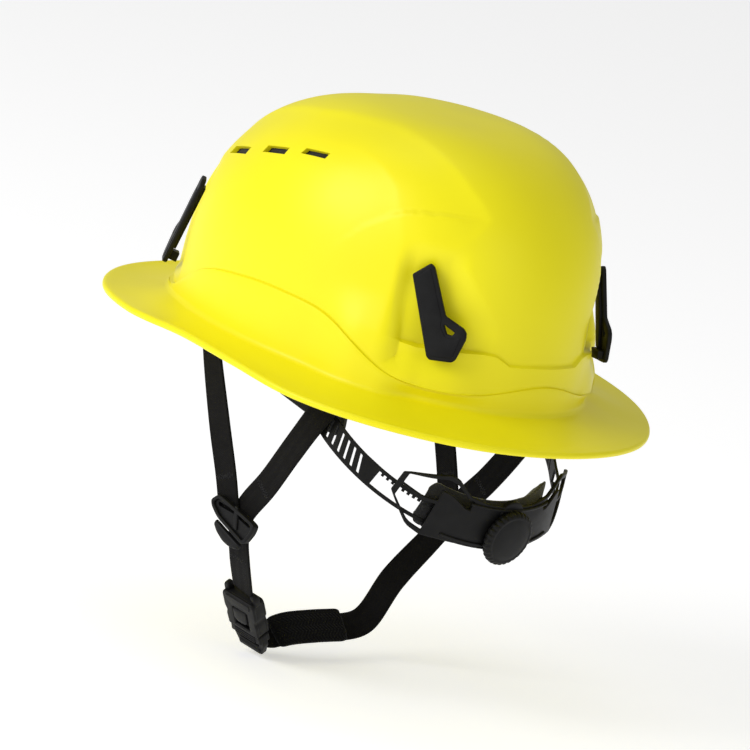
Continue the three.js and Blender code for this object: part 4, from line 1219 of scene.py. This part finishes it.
# ---- strap dividers and lock levers
DIVIDER = [(-13.8, -89.7), (-8.6, -85.2), (19.2, -92.4), (23.2, -94), (22, -99), (18.2, -104.7),
           (15.4, -106.4), (-6.6, -97.9), (-12.4, -93)]
DIVIDER_SLOTS = [[(-9, -89.6), (5.4, -90.8), (5.6, -92.6), (-8.6, -91.6)],
                 [(7.4, -92), (18.6, -94.8), (18, -96.6), (7.2, -93.8)]]
LEVER = [(-8.6, -99.4), (13.6, -107.9), (12.7, -110.4), (8, -111.2), (0.4, -109.6), (-6.6, -105.2),
         (-9.6, -101.6)]


def shrunk(outline, amount):
    """Convex outline moved inward by amount."""
    pts = [np.array(p, float) for p in outline]
    middle = sum(pts) / len(pts)
    lines = []
    for k, p in enumerate(pts):
        q = pts[(k + 1) % len(pts)]
        d = (q - p) / np.linalg.norm(q - p)
        n = np.array([-d[1], d[0]])
        if n @ (middle - p) < 0:
            n = -n
        lines.append((p + n * amount, d))
    out = []
    for k in range(len(lines)):
        (p, d), (q, e) = lines[k - 1], lines[k]
        cross = d[0] * e[1] - d[1] * e[0]
        if abs(cross) < 0.05:
            out.append(tuple(q))
            continue
        t = ((q[0] - p[0]) * e[1] - (q[1] - p[1]) * e[0]) / cross
        out.append(tuple(p + d * t))
    return out


for word, side in SIDES:
    at = sided(basis(Vector((0, 1, 0)), Vector((0, 0, 1)), Vector((1, 0, 0)), Vector((0, 0, 0))), side)
    plate("divider_" + word, DIVIDER, DIVIDER_SLOTS, 84, 86.4, at, BLACK, "helmet",
          ["strap_divider_" + word], 0.5, 3.2)
    plate("divider_rim_" + word, DIVIDER, [shrunk(DIVIDER, 2.1)], 85.6, 88.1, at, BLACK, "helmet",
          (), 0.85, 3.2)
    bar = [(4.6, -87.6), (7.6, -88.2), (9.8, -100.6), (6.6, -100.0)]
    plate("divider_bar_" + word, bar, [], 85.8, 87.5, at, BLACK, "helmet", (), 0.6, 1.2)
    pillow("lever_" + word, LEVER, 84.6, 87.6, at, BLACK, word + "_lever", ["lock_lever_" + word], 3.0, 0.5)


# ---- side-release buckle
BUCKLE_DOWN = Vector((-26, -8, -37)).normalized()
BUCKLE_FACE = -Vector((0, 1, 0)).cross(BUCKLE_DOWN).normalized()
BUCKLE_SIDE = BUCKLE_DOWN.cross(BUCKLE_FACE).normalized()
BUCKLE_AT = basis(BUCKLE_SIDE, BUCKLE_DOWN, BUCKLE_FACE, Vector((58.4, -5.4, -140.6)))


def buckle(name, outline, low, high, holes=(), body="helmet", replaces=(), edge=0.6, corner=1.2):
    return plate(name, outline, list(holes), low, high, BUCKLE_AT, BLACK, body, replaces, edge, corner)


RECEIVER = [(-11, 0.6), (11, 0.6), (12.2, 3), (12.2, 12), (10.8, 15), (11.8, 18), (11.4, 25.5), (-11.4, 25.5),
            (-11.8, 18), (-10.8, 15), (-12.2, 12), (-12.2, 3)]
WELL = [(-5.6, 9.6), (5.6, 9.6), (5.6, 23), (-5.6, 23)]
buckle("receiver_face", RECEIVER, 2.7, 4.8, [WELL], replaces=["buckle_receiver"], edge=0.8)
buckle("receiver_back", RECEIVER, -4.2, -2.1, edge=0.8)
for s in (-1, 1):
    wall = [(s * 9.4, 0.8), (s * 12.0, 1.6), (s * 12.1, 12), (s * 10.9, 15), (s * 11.6, 18), (s * 11.2, 25.3),
            (s * 9.4, 25.3)]
    buckle("receiver_wall_left" if s < 0 else "receiver_wall_right", wall, -2.6, 3.2, edge=0.3)
    ear = [(s * 8.2, -3.6), (s * 11.2, -3.6), (s * 12.2, -1.4), (s * 12.2, 3.4), (s * 8.2, 3.4)]
    buckle("receiver_ear_left" if s < 0 else "receiver_ear_right", ear, -1.6, 2.6, edge=0.9)
buckle("receiver_head", [(-9.6, 1), (9.6, 1), (9.6, 5), (-9.6, 5)], -2.6, 3.0, edge=0.4)
buckle("receiver_brow", [(-9.4, 1.8), (9.4, 1.8), (8.6, 6.4), (-8.6, 6.4)], 4.5, 5.3, edge=0.35)
TONGUE = [(-11.4, 25.9), (-6.9, 25.9), (-8.9, 8), (-5, 6), (-3.6, 22), (3.6, 22), (5, 6), (8.9, 8),
          (6.9, 25.9), (11.4, 25.9), (11.8, 33), (8.4, 41.4), (-8.4, 41.4), (-11.8, 33)]
buckle("insert_tongue", TONGUE, -1.6, 2.2, [[(-7.6, 33.2), (7.6, 33.2), (7.2, 36), (-7.2, 36)]],
       replaces=["buckle_insert"], edge=0.6)
buckle("insert_heel", [(-11.2, 25.9), (11.2, 25.9), (11.6, 31.4), (-11.6, 31.4)], -3.6, 4.0, edge=0.9)
for k, y in enumerate((27.2, 28.8, 30.4)):
    buckle("insert_ridge_%d" % k, [(-8, y - 0.4), (8, y - 0.4), (8, y + 0.4), (-8, y + 0.4)], 3.7, 4.5,
           edge=0.3, corner=0.3)
buckle("insert_bar", [(-8.6, 37.4), (8.6, 37.4), (8.2, 40.6), (-8.2, 40.6)], -2.2, 3.0, edge=0.9)
pillow("button", [(-5.2, 10), (5.2, 10), (5.2, 17.4), (3.2, 19.2), (-3.2, 19.2), (-5.2, 17.4)], 3, 5.6,
       BUCKLE_AT, BLACK, "button", ["buckle_button"], 0.8, 0.35)


# ---- stitching on the webbing
front_rows, rear_rows, lower_rows, chin_rows = (
    spline_path(route) for route in (FRONT_ROUTE, REAR_ROUTE, LOWER_ROUTE, CHIN_ROUTE))
UPPER_TACKS = [(front_rows, (0.10, 0.80)), (rear_rows, (0.12, 0.78))]
LOWER_TACKS = [(lower_rows, (0.55,)), (chin_rows, (0.93,))]
for word, side, tacked in (("left", 1, UPPER_TACKS + LOWER_TACKS), ("right", -1, UPPER_TACKS)):
    flip = np.array([side, 1, 1])
    tacks = [[(p * flip, o * flip) for p, o in bar_tack(rows, share, lift)]
             for rows, shares in tacked for share in shares for lift in (0.62, -0.62)]
    stitches("strap_stitching_" + word, tacks, "helmet", 2.1, 0.15, 0.2)
